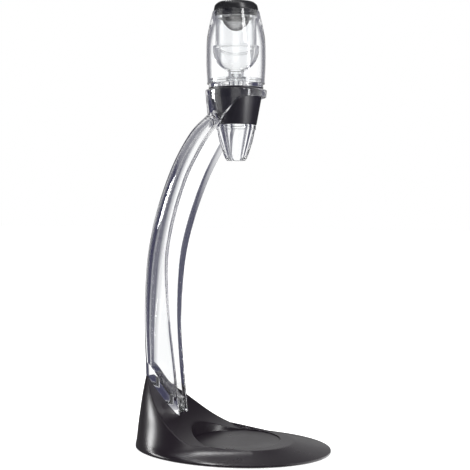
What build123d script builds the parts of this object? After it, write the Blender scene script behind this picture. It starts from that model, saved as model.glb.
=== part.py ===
from build123d import *
import math
import os

os.makedirs("parts", exist_ok=True)

# Frame
# +Z up, origin on the table under the middle of the base, -Y is the front, below the spout,
# and +Y is the back, where the pillar rises. The aerator hangs on a vertical axis.

# Clearances
seat_gap = 0.05         # between faces that rest on each other
fit_gap = 0.05          # round a piece that is pressed or screwed in place
slip_gap = 0.3          # round a piece that lifts out

# Base
base_length = 190.0
base_width = 146.0
foot_height = 0.8       # the shell's rim stands this far above the table
rim_height = 2.0        # upright edge band of the shell
platform_height = 9.5
platform_radius = 42.0
platform_y = -18.0
shoulder_radius = 58.5  # the shell's wide rear half, at the platform's height
shoulder_y = 35.0
heel_levels = [         # height, radius and centre of the leaning rear wall
    (20.0, 51.0, 42.0),
    (35.0, 43.0, 48.5),
    (50.0, 32.0, 58.0),
    (68.0, 13.4, 74.3),
]
ramp_start_y = 1.0
ramp_end_y = 82.0       # the ramp ends here, in a small flat under the pillar's back
ramp_end_height = 66.0
seat_radius = 42.0
seat_depth = 1.0
base_wall = 3.0
base_roof = 2.5
ramp_wall = 4.0
outline_points = 24     # points of each smooth outline, one per step of its outward normal

# Bottom plate, its screws and the foot ring
plate_inset = 4.0
plate_thickness = 2.0
plate_ledge = 2.0
ring_inset = 5.0
ring_width = 6.0
ring_groove = 0.8
plate_screw_places = [(-30.0, -32.0), (30.0, -32.0), (-38.0, 46.0), (38.0, 46.0)]
plate_screw_radius = 1.25
plate_screw_reach = 4.2
plate_head_radius = 2.8
plate_head_height = 1.1
plate_boss_radius = 3.6
slot_width_share = 0.3  # of a screw head's radius
slot_depth_share = 0.4  # of a screw head's height

# Pillar
pillar_wall = 5.0
pillar_stations = [     # free edge y and z, back y and z, half width, from the foot to the collar
    (50.8, 14.0, 86.5, 14.0, 12.2),
    (53.4, 44.0, 87.6, 44.0, 12.2),
    (57.0, 80.0, 88.8, 80.0, 12.6),
    (60.0, 115.0, 89.5, 116.0, 15.0),
    (60.6, 150.0, 88.2, 152.0, 19.0),
    (58.0, 186.0, 84.0, 190.0, 22.6),
    (49.5, 222.0, 73.5, 230.0, 25.6),
    (35.8, 259.0, 57.5, 270.0, 27.6),
    (20.6, 287.0, 39.5, 300.0, 27.6),
    (9.0, 303.5, 23.5, 315.0, 26.2),
    (2.0, 314.0, 13.5, 323.0, 24.6),
]
pillar_cheek = 4.0      # straight part of each cheek before the back's curve starts, at least
pillar_floor = 12.0     # height of the foot's floor over the ramp
pillar_screw_places = [60.5, 75.0]
pillar_screw_radius = 1.9
pillar_screw_bite = 8.0
pillar_screw_room = 0.5 # of the hole above the screw's end
pillar_head_radius = 3.6
pillar_head_height = 2.4
pillar_boss_radius = 6.0
pillar_boss_depth = 15.0
washer_radius = 4.6
washer_thickness = 0.8
back_points = 9         # points of the back's curve in one cross-section

# Collar, the pillar's upper end
collar_top = 339.0
collar_bottom = 304.0
collar_top_radius = 29.0
collar_bottom_radius = 25.6
collar_lip_round = 1.3
bore_low = 12.0         # the aerator's space goes on below the collar
bore_high = 5.0         # and above it
collar_front_edge = [   # y and z of the collar's lower edge, from the front towards the pillar
    (-36.0, 332.5),
    (-17.0, 330.5),
    (-8.0, 322.0),
    (1.0, 313.0),
    (6.5, 303.0),
]

# Aerator, with heights counted from the tip of its spout
aerator_y = -4.0
grip_reveal = 2.0       # grip band above the collar's top
spout_cone = 29.0
flange_height = 4.4
flange_radius = 18.7
spout_tip_radius = 8.4
spout_top_radius = 17.9
spout_curve = [         # radius and share of the cone's height, from its top to its tip
    (15.6, 0.62),
    (13.2, 0.36),
    (10.0, 0.07),
]
outlet_radius = 6.2
outlet_length = 6.0
spigot_length = 4.0
spigot_wall = 1.9
grip_height = 34.5
grip_bottom_radius = 19.3
grip_top_radius = 25.7
grip_wall = 2.5
body_wall = 2.4
neck_height = 3.5
neck_radius = 25.6
collar_spigot_height = 4.5
shell_foot_radius = 27.0
shell_foot_height = 3.8
shell_wall = 2.4
shell_height = 67.5
shell_waist_radius = 27.8
shell_waist_share = 0.33    # of the shell's height
shell_curve = [             # radius and share of the height, from the waist towards the mouth
    (27.2, 0.62),
    (25.2, 0.79),
]
shell_bore_curve = [        # the same inside, from the mouth's neck down
    (22.6, 0.76),
    (24.8, 0.60),
]
shell_mouth_radius = 21.8
mouth_length = 8.0

# Inside of the aerator
seal_thickness = 0.9
tube_radius = 4.6
tube_bore = 3.4
tube_length = 33.0
tube_flange_radius = 7.4
tube_flange_height = 1.2
nozzle_height = 3.2
nozzle_stub = 4.0
nozzle_bore = 2.6
nozzle_lip = 0.8
nozzle_cone_start = 0.5
air_hole_radius = 0.7
air_hole_count = 4
air_hole_turn = 45.0
vent_radius = 1.2
vent_circle = 15.0
hub_wall = 1.8
hub_height = 5.0
bowl_radius = 21.6
bowl_wall = 1.8
bowl_bend = 1.6         # the bore's curve runs this much inside the wall's
throat_wall = 1.8
throat_length = 8.0
bowl_rim_height = 2.6
sleeve_radius = 19.3
sleeve_wall = 1.8

# Strainer and cap ring
cap_skirt_radius = 19.6
cap_skirt_length = 5.6
cap_radius = 20.9
cap_height = 8.0
cap_top_radius = 17.2
cap_bore = 13.4
cap_side = (20.7, 0.3)  # radius and share of the height where the cap's side turns into its dome
cap_dome = (19.7, 2.3)  # radius and depth below the top on the dome
mouth_rim_radius = 15.6
mouth_bend = (14.5, 1.0)    # radius and depth below the top inside the mouth
mouth_end = 4.0         # the mouth is straight below this depth
cap_recess = 2.1
cap_recess_radius = 17.0
mesh_thickness = 0.6
mesh_flange = 3.2
retainer_height = 1.2
retainer_bore = 14.3
o_ring_section = 1.0

# Heights worked out from the values above
shell_bottom = foot_height
skirt_bottom = foot_height + rim_height
plate_top = foot_height + plate_thickness
flange_top = spout_cone + flange_height
grip_bottom = flange_top + 2 * fit_gap
grip_top = grip_bottom + grip_height
neck_top = grip_top + neck_height
shell_top = neck_top + seat_gap + shell_height
aerator_z = collar_top + grip_reveal - grip_top
grip_slope = (grip_top_radius - grip_bottom_radius) / grip_height


# Shared helpers


def polygon(*points):
    """Face bounded by straight lines through the given points."""
    return Face(Wire.make_polygon([Vector(*p) for p in points], close=True))


def side_prism(edges, half_width):
    """Solid from a closed outline in the middle plane, drawn out to both sides."""
    return extrude(Face(Wire(edges)), amount=half_width, dir=(1, 0, 0), both=True)


def side_line(start, end):
    """Straight edge in the middle plane, between two (y, z) points."""
    return Edge.make_line((0, *start), (0, *end))


def turned(*points):
    """Ring or disc turned about Z from a closed outline of (radius, height) points."""
    return revolve(polygon(*[(r, 0, z) for r, z in points]), Axis.Z)


def turned_edges(*edges):
    """Ring turned about Z from outline edges drawn in the XZ plane."""
    return revolve(Face(Wire(list(edges))), Axis.Z)


def turned_line(start, end):
    """Straight outline edge between two (radius, height) points."""
    return Edge.make_line((start[0], 0, start[1]), (end[0], 0, end[1]))


def turned_curve(*points):
    """Smooth outline edge through (radius, height) points."""
    return Edge.make_spline([Vector(r, 0, z) for r, z in points])


def upright(x, y, z, radius, height):
    """Cylinder that stands on the given point."""
    return Pos(x, y, z) * Cylinder(radius, height, align=(Align.CENTER, Align.CENTER, Align.MIN))


def tube(x, y, z, radius, bore, height):
    """Ring or sleeve that stands on the given point."""
    return upright(x, y, z, radius, height) - upright(x, y, z, bore, height)


def hang(part):
    """Moves a piece of the aerator from its own heights to its place over the base."""
    return Pos(0, aerator_y, aerator_z) * part


def save(shape, name):
    """Writes one sub-part."""
    export_step(shape, f"parts/{name}.step")


def group(solids):
    """Several separate solids in one sub-part."""
    return Compound(children=[s.solid() for s in solids])


# Base


def normals():
    """Outward directions of an outline's points, from the back round to the back again."""
    for k in range(outline_points):
        angle = math.pi / 2 + 2 * math.pi * k / outline_points
        yield math.cos(angle), math.sin(angle)


def smooth_face(points, z):
    """Flat face inside a smooth closed curve."""
    return Face(Wire([Edge.make_spline([Vector(x, y, z) for x, y in points], periodic=True)]))


def foot_points(inset):
    """Points of the base's oval, drawn in by an inset."""
    half_x, half_y = base_width / 2, base_length / 2
    points = []
    for nx, ny in normals():
        scale = math.hypot(half_x * nx, half_y * ny)
        points.append((half_x**2 * nx / scale - inset * nx, half_y**2 * ny / scale - inset * ny))
    return points


def pear_points(front, back, inset):
    """Points round two circles, each given as (radius, y)."""
    points = []
    for nx, ny in normals():
        radius, y = max(front, back, key=lambda circle: circle[0] + circle[1] * ny)
        points.append(((radius - inset) * nx, y + (radius - inset) * ny))
    return points


def foot_outline(inset, z):
    """The base's oval as a face."""
    return smooth_face(foot_points(inset), z)


def ramp_height(y):
    """Height of the base's upper face at a distance behind the middle."""
    share = max(0.0, y - ramp_start_y) / (ramp_end_y - ramp_start_y)
    return platform_height + (ramp_end_height - platform_height) * share**2


def under_ramp(lift):
    """Everything under the platform, ramp and top flat, with those faces raised by a lift."""
    front, back, bottom = -base_length, base_length, -base_length
    low, high = platform_height + lift, ramp_end_height + lift
    bend_y = (ramp_start_y + ramp_end_y) / 2
    return side_prism(
        [
            side_line((front, low), (ramp_start_y, low)),
            Edge.make_bezier((0, ramp_start_y, low), (0, bend_y, low), (0, ramp_end_y, high)),
            side_line((ramp_end_y, high), (back, high)),
            side_line((back, high), (back, bottom)),
            side_line((back, bottom), (front, bottom)),
            side_line((front, bottom), (front, low)),
        ],
        base_width,
    )


def base_form(inset):
    """Leaning walls of the base up to the heel's top, before the ramp is cut."""
    shoulder = pear_points((platform_radius, platform_y), (shoulder_radius, shoulder_y), inset)
    levels = [foot_outline(inset, skirt_bottom), smooth_face(shoulder, platform_height)]
    for z, radius, y in heel_levels:
        levels.append(smooth_face(pear_points((radius, y), (radius, y), inset), z))
    return loft(levels, ruled=True)


def base_shell():
    """Moulded shell with its ramp, round seat, bosses and open underside."""
    rim = extrude(foot_outline(0, shell_bottom), amount=rim_height)
    outside = rim + (base_form(0) & under_ramp(0))
    seat_z = platform_height - seat_depth
    seat = upright(0, aerator_y, seat_z, seat_radius, ramp_end_height)
    opening = extrude(foot_outline(plate_inset + plate_ledge, 0), amount=ramp_end_height)
    inside = (Pos(0, 0, -base_roof) * base_form(base_wall)) & under_ramp(-ramp_wall) & opening
    pocket = extrude(foot_outline(plate_inset, 0), amount=plate_top + seat_gap)
    bosses = [upright(x, y, plate_top + seat_gap, plate_boss_radius, ramp_end_height)
              for x, y in plate_screw_places]
    bosses += [upright(0, y, ramp_height(y) - pillar_boss_depth, pillar_boss_radius, ramp_end_height)
               for y in pillar_screw_places]
    bosses.append(upright(0, aerator_y, seat_z - base_roof, seat_radius + base_wall, ramp_end_height))
    for boss in bosses:
        inside -= boss
    shell = outside - inside - pocket - seat
    pilot = plate_screw_reach + plate_thickness
    for x, y in plate_screw_places:
        shell -= upright(x, y, foot_height, plate_screw_radius + fit_gap, pilot)
    for y in pillar_screw_places:
        shell -= upright(0, y, 0, pillar_screw_radius + slip_gap, ramp_end_height)
    return shell


def bottom_plate():
    """Cover of the base, with a groove for the foot ring and sunk screw holes."""
    plate = extrude(foot_outline(plate_inset + fit_gap, foot_height), amount=plate_thickness)
    groove = foot_outline(ring_inset - fit_gap, 0) - foot_outline(ring_inset + ring_width + fit_gap, 0)
    plate -= extrude(groove, amount=foot_height + ring_groove)
    sink = plate_head_height + fit_gap
    for x, y in plate_screw_places:
        plate -= upright(x, y, 0, plate_screw_radius + slip_gap, plate_top + 1)
        plate -= upright(x, y, 0, plate_head_radius + slip_gap, foot_height + sink)
    return plate


def foot_ring():
    """Non-slip oval ring that the stand rests on."""
    ring = foot_outline(ring_inset, 0) - foot_outline(ring_inset + ring_width, 0)
    return extrude(ring, amount=foot_height + ring_groove - seat_gap)


def screw(x, y, head_z, head_radius, head_height, radius, length):
    """Cheese-head screw that points up, standing on its head."""
    body = upright(x, y, head_z, head_radius, head_height)
    body += upright(x, y, head_z + head_height, radius, length)
    slot = Box(head_radius * 2, head_radius * slot_width_share, head_height * slot_depth_share * 2)
    return body - Pos(x, y, head_z) * slot


def plate_screws():
    """Four screws that hold the bottom plate."""
    return group([screw(x, y, foot_height, plate_head_radius, plate_head_height,
                        plate_screw_radius, plate_screw_reach) for x, y in plate_screw_places])


def pillar_screws():
    """Two screws that pull the pillar's foot down on the ramp."""
    screws = []
    for y in pillar_screw_places:
        seat = ramp_height(y) - pillar_boss_depth - seat_gap - washer_thickness - seat_gap
        length = ramp_height(y) + pillar_screw_bite - seat
        screws.append(screw(0, y, seat - pillar_head_height, pillar_head_radius,
                            pillar_head_height, pillar_screw_radius, length))
    return group(screws)


def pillar_washers():
    """Washers between those screws and their bosses."""
    return group([tube(0, y, ramp_height(y) - pillar_boss_depth - seat_gap - washer_thickness,
                       washer_radius, pillar_screw_radius + slip_gap, washer_thickness)
                  for y in pillar_screw_places])


# Pillar and collar


def station_plane(station):
    """Plane of one cross-section, with its Y axis from the free edges to the back."""
    front_y, front_z, back_y, back_z, _ = station
    across = Vector(0, back_y - front_y, back_z - front_z)
    plane = Plane(origin=(0, front_y, front_z), x_dir=(1, 0, 0), z_dir=Vector(1, 0, 0).cross(across))
    return plane, across.length


def back_curve(plane, half_width, start, rise):
    """Half oval across the back of a cross-section, from its left to its right cheek."""
    points = []
    for k in range(back_points):
        angle = math.pi * (1 - k / (back_points - 1))
        points.append(plane.from_local_coords(
            Vector(half_width * math.cos(angle), start + rise * math.sin(angle), 0)))
    down = plane.y_dir
    return Edge.make_spline(points, tangents=[down, -down])


def trough_section(station):
    """Open U with rounded free edges."""
    plane, depth = station_plane(station)
    half = station[4]
    rise = min(half, depth - pillar_cheek)
    start = depth - rise
    inner, inner_rise = half - pillar_wall, rise - pillar_wall
    middle = pillar_wall / 2

    def at(x, y):
        return plane.from_local_coords(Vector(x, y, 0))

    def free_edge(side):
        return Edge.make_three_point_arc(
            at(side * half, 0), at(side * (half - middle), -middle), at(side * inner, 0))

    return Face(Wire([
        Edge.make_line(at(-half, 0), at(-half, start)),
        back_curve(plane, half, start, rise),
        Edge.make_line(at(half, start), at(half, 0)),
        free_edge(1),
        Edge.make_line(at(inner, 0), at(inner, start)),
        back_curve(plane, inner, start, inner_rise),
        Edge.make_line(at(-inner, start), at(-inner, 0)),
        free_edge(-1),
    ]))


def filled_section(station):
    """The same outline closed across its mouth."""
    plane, depth = station_plane(station)
    half = station[4]
    rise = min(half, depth - pillar_cheek)
    start = depth - rise

    def at(x, y):
        return plane.from_local_coords(Vector(x, y, 0))

    return Face(Wire([
        Edge.make_line(at(-half, 0), at(-half, start)),
        back_curve(plane, half, start, rise),
        Edge.make_line(at(half, start), at(half, 0)),
        Edge.make_line(at(half, 0), at(-half, 0)),
    ]))


def grip_radius(z):
    """Outer radius of the grip band at a height over the table."""
    return grip_bottom_radius + grip_slope * (z - aerator_z - grip_bottom)


def collar_bore():
    """Space in the collar for the aerator, with its running clearance."""
    low, high = collar_bottom - bore_low, collar_top + bore_high
    floor_radius = grip_radius(collar_bottom) + slip_gap
    return Pos(0, aerator_y, 0) * turned(
        (0, low), (floor_radius, low), (floor_radius, collar_bottom),
        (grip_radius(high) + slip_gap, high), (0, high))


def collar():
    """Clear ring round the grip band, cut away in front."""
    body = Pos(0, aerator_y, 0) * turned(
        (0, collar_bottom), (collar_bottom_radius, collar_bottom),
        (collar_top_radius, collar_top), (0, collar_top))
    body -= collar_bore()
    lip = body.edges().filter_by(GeomType.CIRCLE).group_by(Axis.Z)[-1]
    body = fillet(lip, collar_lip_round)
    edge = [Vector(0, y, z) for y, z in collar_front_edge]
    (front_y, front_z), (back_y, back_z) = collar_front_edge[0], collar_front_edge[-1]
    low = collar_bottom - bore_low
    away = side_prism(
        [
            Edge.make_spline(edge),
            side_line((back_y, back_z), (back_y, low)),
            side_line((back_y, low), (front_y, low)),
            side_line((front_y, low), (front_y, front_z)),
        ],
        base_width,
    )
    return body - away


def pillar():
    """One clear moulding: foot, trough and collar."""
    trough = loft([trough_section(s) for s in pillar_stations])
    trough -= under_ramp(seat_gap)
    foot = loft([filled_section(s) for s in pillar_stations[:3]])
    foot &= under_ramp(pillar_floor)
    foot -= under_ramp(seat_gap)
    trough -= collar_bore()
    part = trough + foot + collar()
    for y in pillar_screw_places:
        part -= upright(0, y, 0, pillar_screw_radius + fit_gap,
                        ramp_height(y) + pillar_screw_bite + pillar_screw_room)
    return part


# Aerator


def spout():
    """Clear cone with a flange and a spigot that plugs into the lower body."""
    spigot_radius = body_bottom_bore() - fit_gap
    cone = [(radius, spout_cone * share) for radius, share in spout_curve]
    tip = turned_curve((spout_top_radius, spout_cone), *cone, (spout_tip_radius, 0))
    top = flange_top + spigot_length
    return turned_edges(
        tip,
        turned_line((spout_tip_radius, 0), (outlet_radius, 0)),
        turned_line((outlet_radius, 0), (outlet_radius, outlet_length)),
        turned_line((outlet_radius, outlet_length), (spigot_radius - spigot_wall, top)),
        turned_line((spigot_radius - spigot_wall, top), (spigot_radius, top)),
        turned_line((spigot_radius, top), (spigot_radius, flange_top)),
        turned_line((spigot_radius, flange_top), (flange_radius, flange_top)),
        turned_line((flange_radius, flange_top), (flange_radius, spout_cone)),
        turned_line((flange_radius, spout_cone), (spout_top_radius, spout_cone)),
    )


def body_radius(z):
    """Outer radius of the lower body, inside the grip band."""
    return grip_bottom_radius + grip_slope * (z - grip_bottom) - grip_wall


def body_bottom_bore():
    """Bore at the lower body's bottom end, where the spout plugs in."""
    return body_radius(grip_bottom) - body_wall


def grip_band():
    """Soft sleeve round the lower body."""
    return turned(
        (grip_bottom_radius, grip_bottom), (grip_top_radius, grip_top),
        (body_radius(grip_top) + fit_gap, grip_top), (body_radius(grip_bottom) + fit_gap, grip_bottom))


def lower_body():
    """Cone that carries the spout below and the shell and funnel above."""
    low = flange_top + seat_gap
    bore = body_bottom_bore()
    web_bottom = grip_top
    spigot = shell_inner_radius() - fit_gap
    socket_top = low + spigot_length + 2 * seal_thickness
    part = turned(
        (bore, low), (body_radius(low), low), (body_radius(grip_top), grip_top),
        (neck_radius, grip_top + seat_gap), (neck_radius, neck_top), (spigot, neck_top),
        (spigot, neck_top + collar_spigot_height), (spigot - body_wall, neck_top + collar_spigot_height),
        (spigot - body_wall, neck_top), (hub_radius() + hub_wall, neck_top),
        (hub_radius() + hub_wall, neck_top + hub_height), (hub_radius(), neck_top + hub_height),
        (hub_radius(), neck_top), (tube_radius + fit_gap, neck_top), (tube_radius + fit_gap, web_bottom),
        (body_radius(web_bottom) - body_wall, web_bottom),
        (body_radius(socket_top) - body_wall, socket_top), (bore, socket_top))
    groove_z = neck_top + collar_spigot_height / 2 - o_ring_section / 2
    part -= tube(0, 0, groove_z, spigot + 1, spigot - o_ring_section, o_ring_section + fit_gap)
    for k in range(air_hole_count):
        angle = air_hole_turn + 360 * k / air_hole_count
        part -= Rot(0, 0, angle) * upright(vent_circle, 0, web_bottom - 1, vent_radius, neck_height + 2)
        slot = Pos(hub_radius() + hub_wall / 2, 0, neck_top + hub_height)
        part -= Rot(0, 0, angle) * slot * Box(hub_wall * 2, vent_radius * 2, hub_height)
    return part


def shell_inner_radius():
    """Bore of the outer shell at its foot."""
    return shell_foot_radius - shell_wall


def hub_radius():
    """Bore of the hub that centres the funnel's stem."""
    return tube_flange_radius + 2 * fit_gap


def outer_shell():
    """Clear bullet-shaped shell with a thickened foot and a short neck at its mouth."""
    low = neck_top + seat_gap
    foot_top = low + shell_foot_height
    neck_bore = cap_skirt_radius + slip_gap
    mouth_low = shell_top - mouth_length
    inner = shell_inner_radius()
    waist_z = low + shell_height * shell_waist_share
    outside = [(radius, low + shell_height * share) for radius, share in shell_curve]
    inside = [(radius, low + shell_height * share) for radius, share in shell_bore_curve]
    return turned_edges(
        turned_line((inner, low), (shell_foot_radius, low)),
        turned_line((shell_foot_radius, low), (shell_foot_radius, foot_top)),
        turned_curve((shell_foot_radius, foot_top), (shell_waist_radius, waist_z), *outside,
                     (shell_mouth_radius, shell_top)),
        turned_line((shell_mouth_radius, shell_top), (neck_bore, shell_top)),
        turned_line((neck_bore, shell_top), (neck_bore, mouth_low)),
        turned_curve((neck_bore, mouth_low), *inside, (shell_waist_radius - shell_wall, waist_z),
                     (inner, low)),
    )


def stem_levels():
    """Heights of the stack on the lower body's hub, from the seal to the funnel's throat."""
    seal_top = neck_top + seat_gap + seal_thickness
    flange_top_z = seal_top + seat_gap + tube_flange_height
    nozzle_low = flange_top_z + seat_gap
    return seal_top, flange_top_z, nozzle_low, nozzle_low + nozzle_height


def funnel_seal():
    """Flat seal under the mixing tube's flange."""
    return tube(0, 0, neck_top + seat_gap, tube_flange_radius, tube_radius + fit_gap, seal_thickness)


def mixing_tube():
    """Narrow tube where air is drawn in, hung from its flange."""
    seal_top, flange_top_z, _, _ = stem_levels()
    body = tube(0, 0, flange_top_z - tube_length, tube_radius, tube_bore, tube_length)
    return body + tube(0, 0, seal_top + seat_gap, tube_flange_radius, tube_bore, tube_flange_height)


def throat_bore():
    """Bore of the funnel's throat."""
    return tube_flange_radius - throat_wall


def nozzle():
    """Jet with air holes through its flange, plugged into the funnel's throat."""
    _, _, low, top = stem_levels()
    stub = throat_bore() - fit_gap
    body = turned((nozzle_bore, low), (tube_flange_radius, low), (tube_flange_radius, top), (stub, top),
                  (stub, top + nozzle_stub), (stub - nozzle_lip, top + nozzle_stub),
                  (nozzle_bore, top + nozzle_cone_start))
    hole = Pos(0, 0, (low + top) / 2) * Rot(0, 90, 0) * Cylinder(
        air_hole_radius, tube_flange_radius + 1, align=(Align.CENTER, Align.CENTER, Align.MIN))
    for k in range(air_hole_count):
        body -= Rot(0, 0, air_hole_turn + 360 * k / air_hole_count) * hole
    return body


def bowl_centre():
    """Height of the middle of the funnel's round bowl."""
    _, _, _, nozzle_top = stem_levels()
    inner = bowl_radius - bowl_wall
    drop = math.sqrt(inner**2 - throat_bore()**2)
    return nozzle_top + seat_gap + throat_length + drop


def bowl_rim_top():
    """Height of the funnel's rim."""
    return bowl_centre() + bowl_rim_height


def funnel_bowl():
    """Round bowl that runs down into a short throat."""
    _, _, _, nozzle_top = stem_levels()
    centre = bowl_centre()
    inner = bowl_radius - bowl_wall
    throat = throat_bore()
    low = nozzle_top + seat_gap
    rim = bowl_rim_top()
    outer_joint = centre - math.sqrt(bowl_radius**2 - tube_flange_radius**2)
    inner_joint = centre - math.sqrt(inner**2 - throat**2)
    middle = math.sqrt(0.5)

    def bend(radius, start, end):
        mid = (radius * middle, 0, centre - radius * middle)
        return Edge.make_three_point_arc((start[0], 0, start[1]), mid, (end[0], 0, end[1]))

    seat = sleeve_radius + fit_gap
    return turned_edges(
        turned_line((throat, low), (tube_flange_radius, low)),
        turned_line((tube_flange_radius, low), (tube_flange_radius, outer_joint)),
        bend(bowl_radius, (tube_flange_radius, outer_joint), (bowl_radius, centre)),
        turned_line((bowl_radius, centre), (bowl_radius, rim)),
        turned_line((bowl_radius, rim), (seat, rim)),
        turned_line((seat, rim), (seat, centre)),
        turned_line((seat, centre), (sleeve_radius - sleeve_wall, centre)),
        Edge.make_three_point_arc(
            (sleeve_radius - sleeve_wall, 0, centre),
            ((inner - bowl_bend) * middle, 0, centre - inner * middle),
            (throat, 0, inner_joint)),
        turned_line((throat, inner_joint), (throat, low)),
    )


def sleeve_bottom():
    """Lower end of the inner sleeve, on its seal."""
    return bowl_centre() + seal_thickness + 2 * seat_gap


def sleeve_seal():
    """Flat seal between the sleeve and the funnel's rim."""
    return tube(0, 0, bowl_centre() + seat_gap, sleeve_radius, sleeve_radius - sleeve_wall, seal_thickness)


def inner_sleeve():
    """Clear tube from the funnel up to the cap."""
    top = shell_top - cap_skirt_length - slip_gap
    return tube(0, 0, sleeve_bottom(), sleeve_radius, sleeve_radius - sleeve_wall, top - sleeve_bottom())


def shell_seal():
    """Ring in the groove between the lower body and the outer shell."""
    spigot = shell_inner_radius() - fit_gap
    z = neck_top + collar_spigot_height / 2 - o_ring_section / 2 + fit_gap / 2
    return tube(0, 0, z, spigot, spigot - o_ring_section + fit_gap, o_ring_section)


def spout_seal():
    """Flat ring on the spout's spigot, under the lower body's step."""
    spigot = body_bottom_bore() - fit_gap
    z = flange_top + spigot_length + seat_gap
    return tube(0, 0, z, spigot, spigot - spigot_wall, seal_thickness)


# Strainer and cap


def cap_ring():
    """Rounded mouth ring with a skirt that drops into the shell's neck."""
    low = shell_top - cap_skirt_length
    dome_low = shell_top + seat_gap
    top = dome_low + cap_height
    recess = low + cap_recess
    side = (cap_side[0], dome_low + cap_height * cap_side[1])
    groove_z = shell_top - cap_skirt_length / 2 - o_ring_section / 2
    body = turned_edges(
        turned_line((cap_recess_radius, low), (cap_skirt_radius, low)),
        turned_line((cap_skirt_radius, low), (cap_skirt_radius, dome_low)),
        turned_line((cap_skirt_radius, dome_low), (cap_radius, dome_low)),
        turned_line((cap_radius, dome_low), side),
        turned_curve(side, (cap_dome[0], top - cap_dome[1]), (cap_top_radius, top)),
        turned_line((cap_top_radius, top), (mouth_rim_radius, top)),
        turned_curve((mouth_rim_radius, top), (mouth_bend[0], top - mouth_bend[1]),
                     (cap_bore, top - mouth_end)),
        turned_line((cap_bore, top - mouth_end), (cap_bore, recess)),
        turned_line((cap_bore, recess), (cap_recess_radius, recess)),
        turned_line((cap_recess_radius, recess), (cap_recess_radius, low)),
    )
    return body - tube(0, 0, groove_z, cap_skirt_radius + 1, cap_skirt_radius - o_ring_section,
                       o_ring_section + fit_gap)


def cap_seal():
    """Ring in the cap's groove that grips the shell's neck."""
    z = shell_top - cap_skirt_length / 2 - o_ring_section / 2 + fit_gap / 2
    return tube(0, 0, z, cap_skirt_radius + slip_gap - fit_gap, cap_skirt_radius - o_ring_section + fit_gap,
                o_ring_section)


def strainer_bowl():
    """Round mesh bowl hung from a flat flange."""
    top = shell_top - cap_skirt_length + cap_recess - seat_gap
    radius = cap_bore - fit_gap
    inner = radius - mesh_thickness
    low = top - mesh_thickness
    middle = math.sqrt(0.5)
    return turned_edges(
        turned_line((inner, top), (radius + mesh_flange, top)),
        turned_line((radius + mesh_flange, top), (radius + mesh_flange, low)),
        turned_line((radius + mesh_flange, low), (radius, low)),
        Edge.make_three_point_arc((radius, 0, low), (radius * middle, 0, low - radius * middle),
                                  (0, 0, low - radius)),
        turned_line((0, low - radius), (0, low - inner)),
        Edge.make_three_point_arc((0, 0, low - inner), (inner * middle, 0, low - inner * middle),
                                  (inner, 0, low)),
        turned_line((inner, low), (inner, top)),
    )


def strainer_retainer():
    """Clip ring that holds the mesh in the cap ring."""
    low = shell_top - cap_skirt_length
    return tube(0, 0, low, cap_recess_radius - fit_gap, retainer_bore, retainer_height)


# Sub-parts

stand_nodes = {
    "base_shell": base_shell,
    "bottom_plate": bottom_plate,
    "foot_ring": foot_ring,
    "plate_screws": plate_screws,
    "pillar": pillar,
    "pillar_screws": pillar_screws,
    "pillar_washers": pillar_washers,
}
aerator_nodes = {
    "spout": spout,
    "spout_seal": spout_seal,
    "lower_body": lower_body,
    "grip_band": grip_band,
    "shell_seal": shell_seal,
    "outer_shell": outer_shell,
    "funnel_seal": funnel_seal,
    "mixing_tube": mixing_tube,
    "nozzle": nozzle,
    "funnel_bowl": funnel_bowl,
    "sleeve_seal": sleeve_seal,
    "inner_sleeve": inner_sleeve,
    "cap_ring": cap_ring,
    "cap_seal": cap_seal,
    "strainer_bowl": strainer_bowl,
    "strainer_retainer": strainer_retainer,
}

for name, build in stand_nodes.items():
    save(build(), name)
for name, build in aerator_nodes.items():
    save(hang(build()), name)
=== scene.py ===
import logging
import math
from collections.abc import Iterable, Iterator, Sequence
from contextlib import contextmanager
from dataclasses import dataclass, field
from enum import Enum

import bmesh
import bpy
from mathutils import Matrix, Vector


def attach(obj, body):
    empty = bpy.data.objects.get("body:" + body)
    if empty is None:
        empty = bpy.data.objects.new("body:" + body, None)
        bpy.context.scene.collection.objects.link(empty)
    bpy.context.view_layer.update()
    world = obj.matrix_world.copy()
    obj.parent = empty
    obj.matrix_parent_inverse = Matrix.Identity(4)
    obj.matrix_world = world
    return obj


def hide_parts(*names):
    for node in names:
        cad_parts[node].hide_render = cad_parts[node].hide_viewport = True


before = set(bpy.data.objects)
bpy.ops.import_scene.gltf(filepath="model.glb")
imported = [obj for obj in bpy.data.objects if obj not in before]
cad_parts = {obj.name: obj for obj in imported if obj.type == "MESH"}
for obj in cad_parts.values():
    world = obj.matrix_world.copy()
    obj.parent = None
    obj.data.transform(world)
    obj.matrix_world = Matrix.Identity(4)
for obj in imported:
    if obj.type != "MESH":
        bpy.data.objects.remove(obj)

LOG = logging.getLogger("aerator")
Point2 = tuple[float, float]
Colour = tuple[float, float, float]
Node = bpy.types.Node
Socket = bpy.types.NodeSocket
Piece = bpy.types.Object
Term = float | Socket

# One millimetre, and the lengths in metres within which a mesh's points are one
MM = 0.001
WELD = 1e-6
FINE_WELD = 1e-7
NO_LENGTH = 1e-8

# Gap in millimetres between pieces pressed together, and the least length that is divided by
FIT_GAP = 0.05
TINY = 1e-9

# Curvature above flat at which a corner counts as fully worn
WEAR_REACH = 0.08


class Slot(Enum):
    """Material slots that new pieces take their finish from."""

    BLACK_SATIN = "black_satin"
    BLACK_GLOSS = "black_gloss"
    FOOT_RUBBER = "foot_rubber"
    BLACK_SILICONE = "black_silicone"
    CLEAR_SILICONE = "clear_silicone"
    CLEAR_ACRYLIC = "clear_acrylic"
    STEEL = "steel"
    MESH_STEEL = "mesh_steel"


class Body(Enum):
    """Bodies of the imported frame."""

    STAND = "stand"
    AERATOR = "aerator"
    STRAINER = "strainer"


class Cut(Enum):
    """Ways to combine two closed meshes."""

    JOIN = "UNION"
    TAKE_AWAY = "DIFFERENCE"
    KEEP_COMMON = "INTERSECT"


# Mesh helpers


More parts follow.
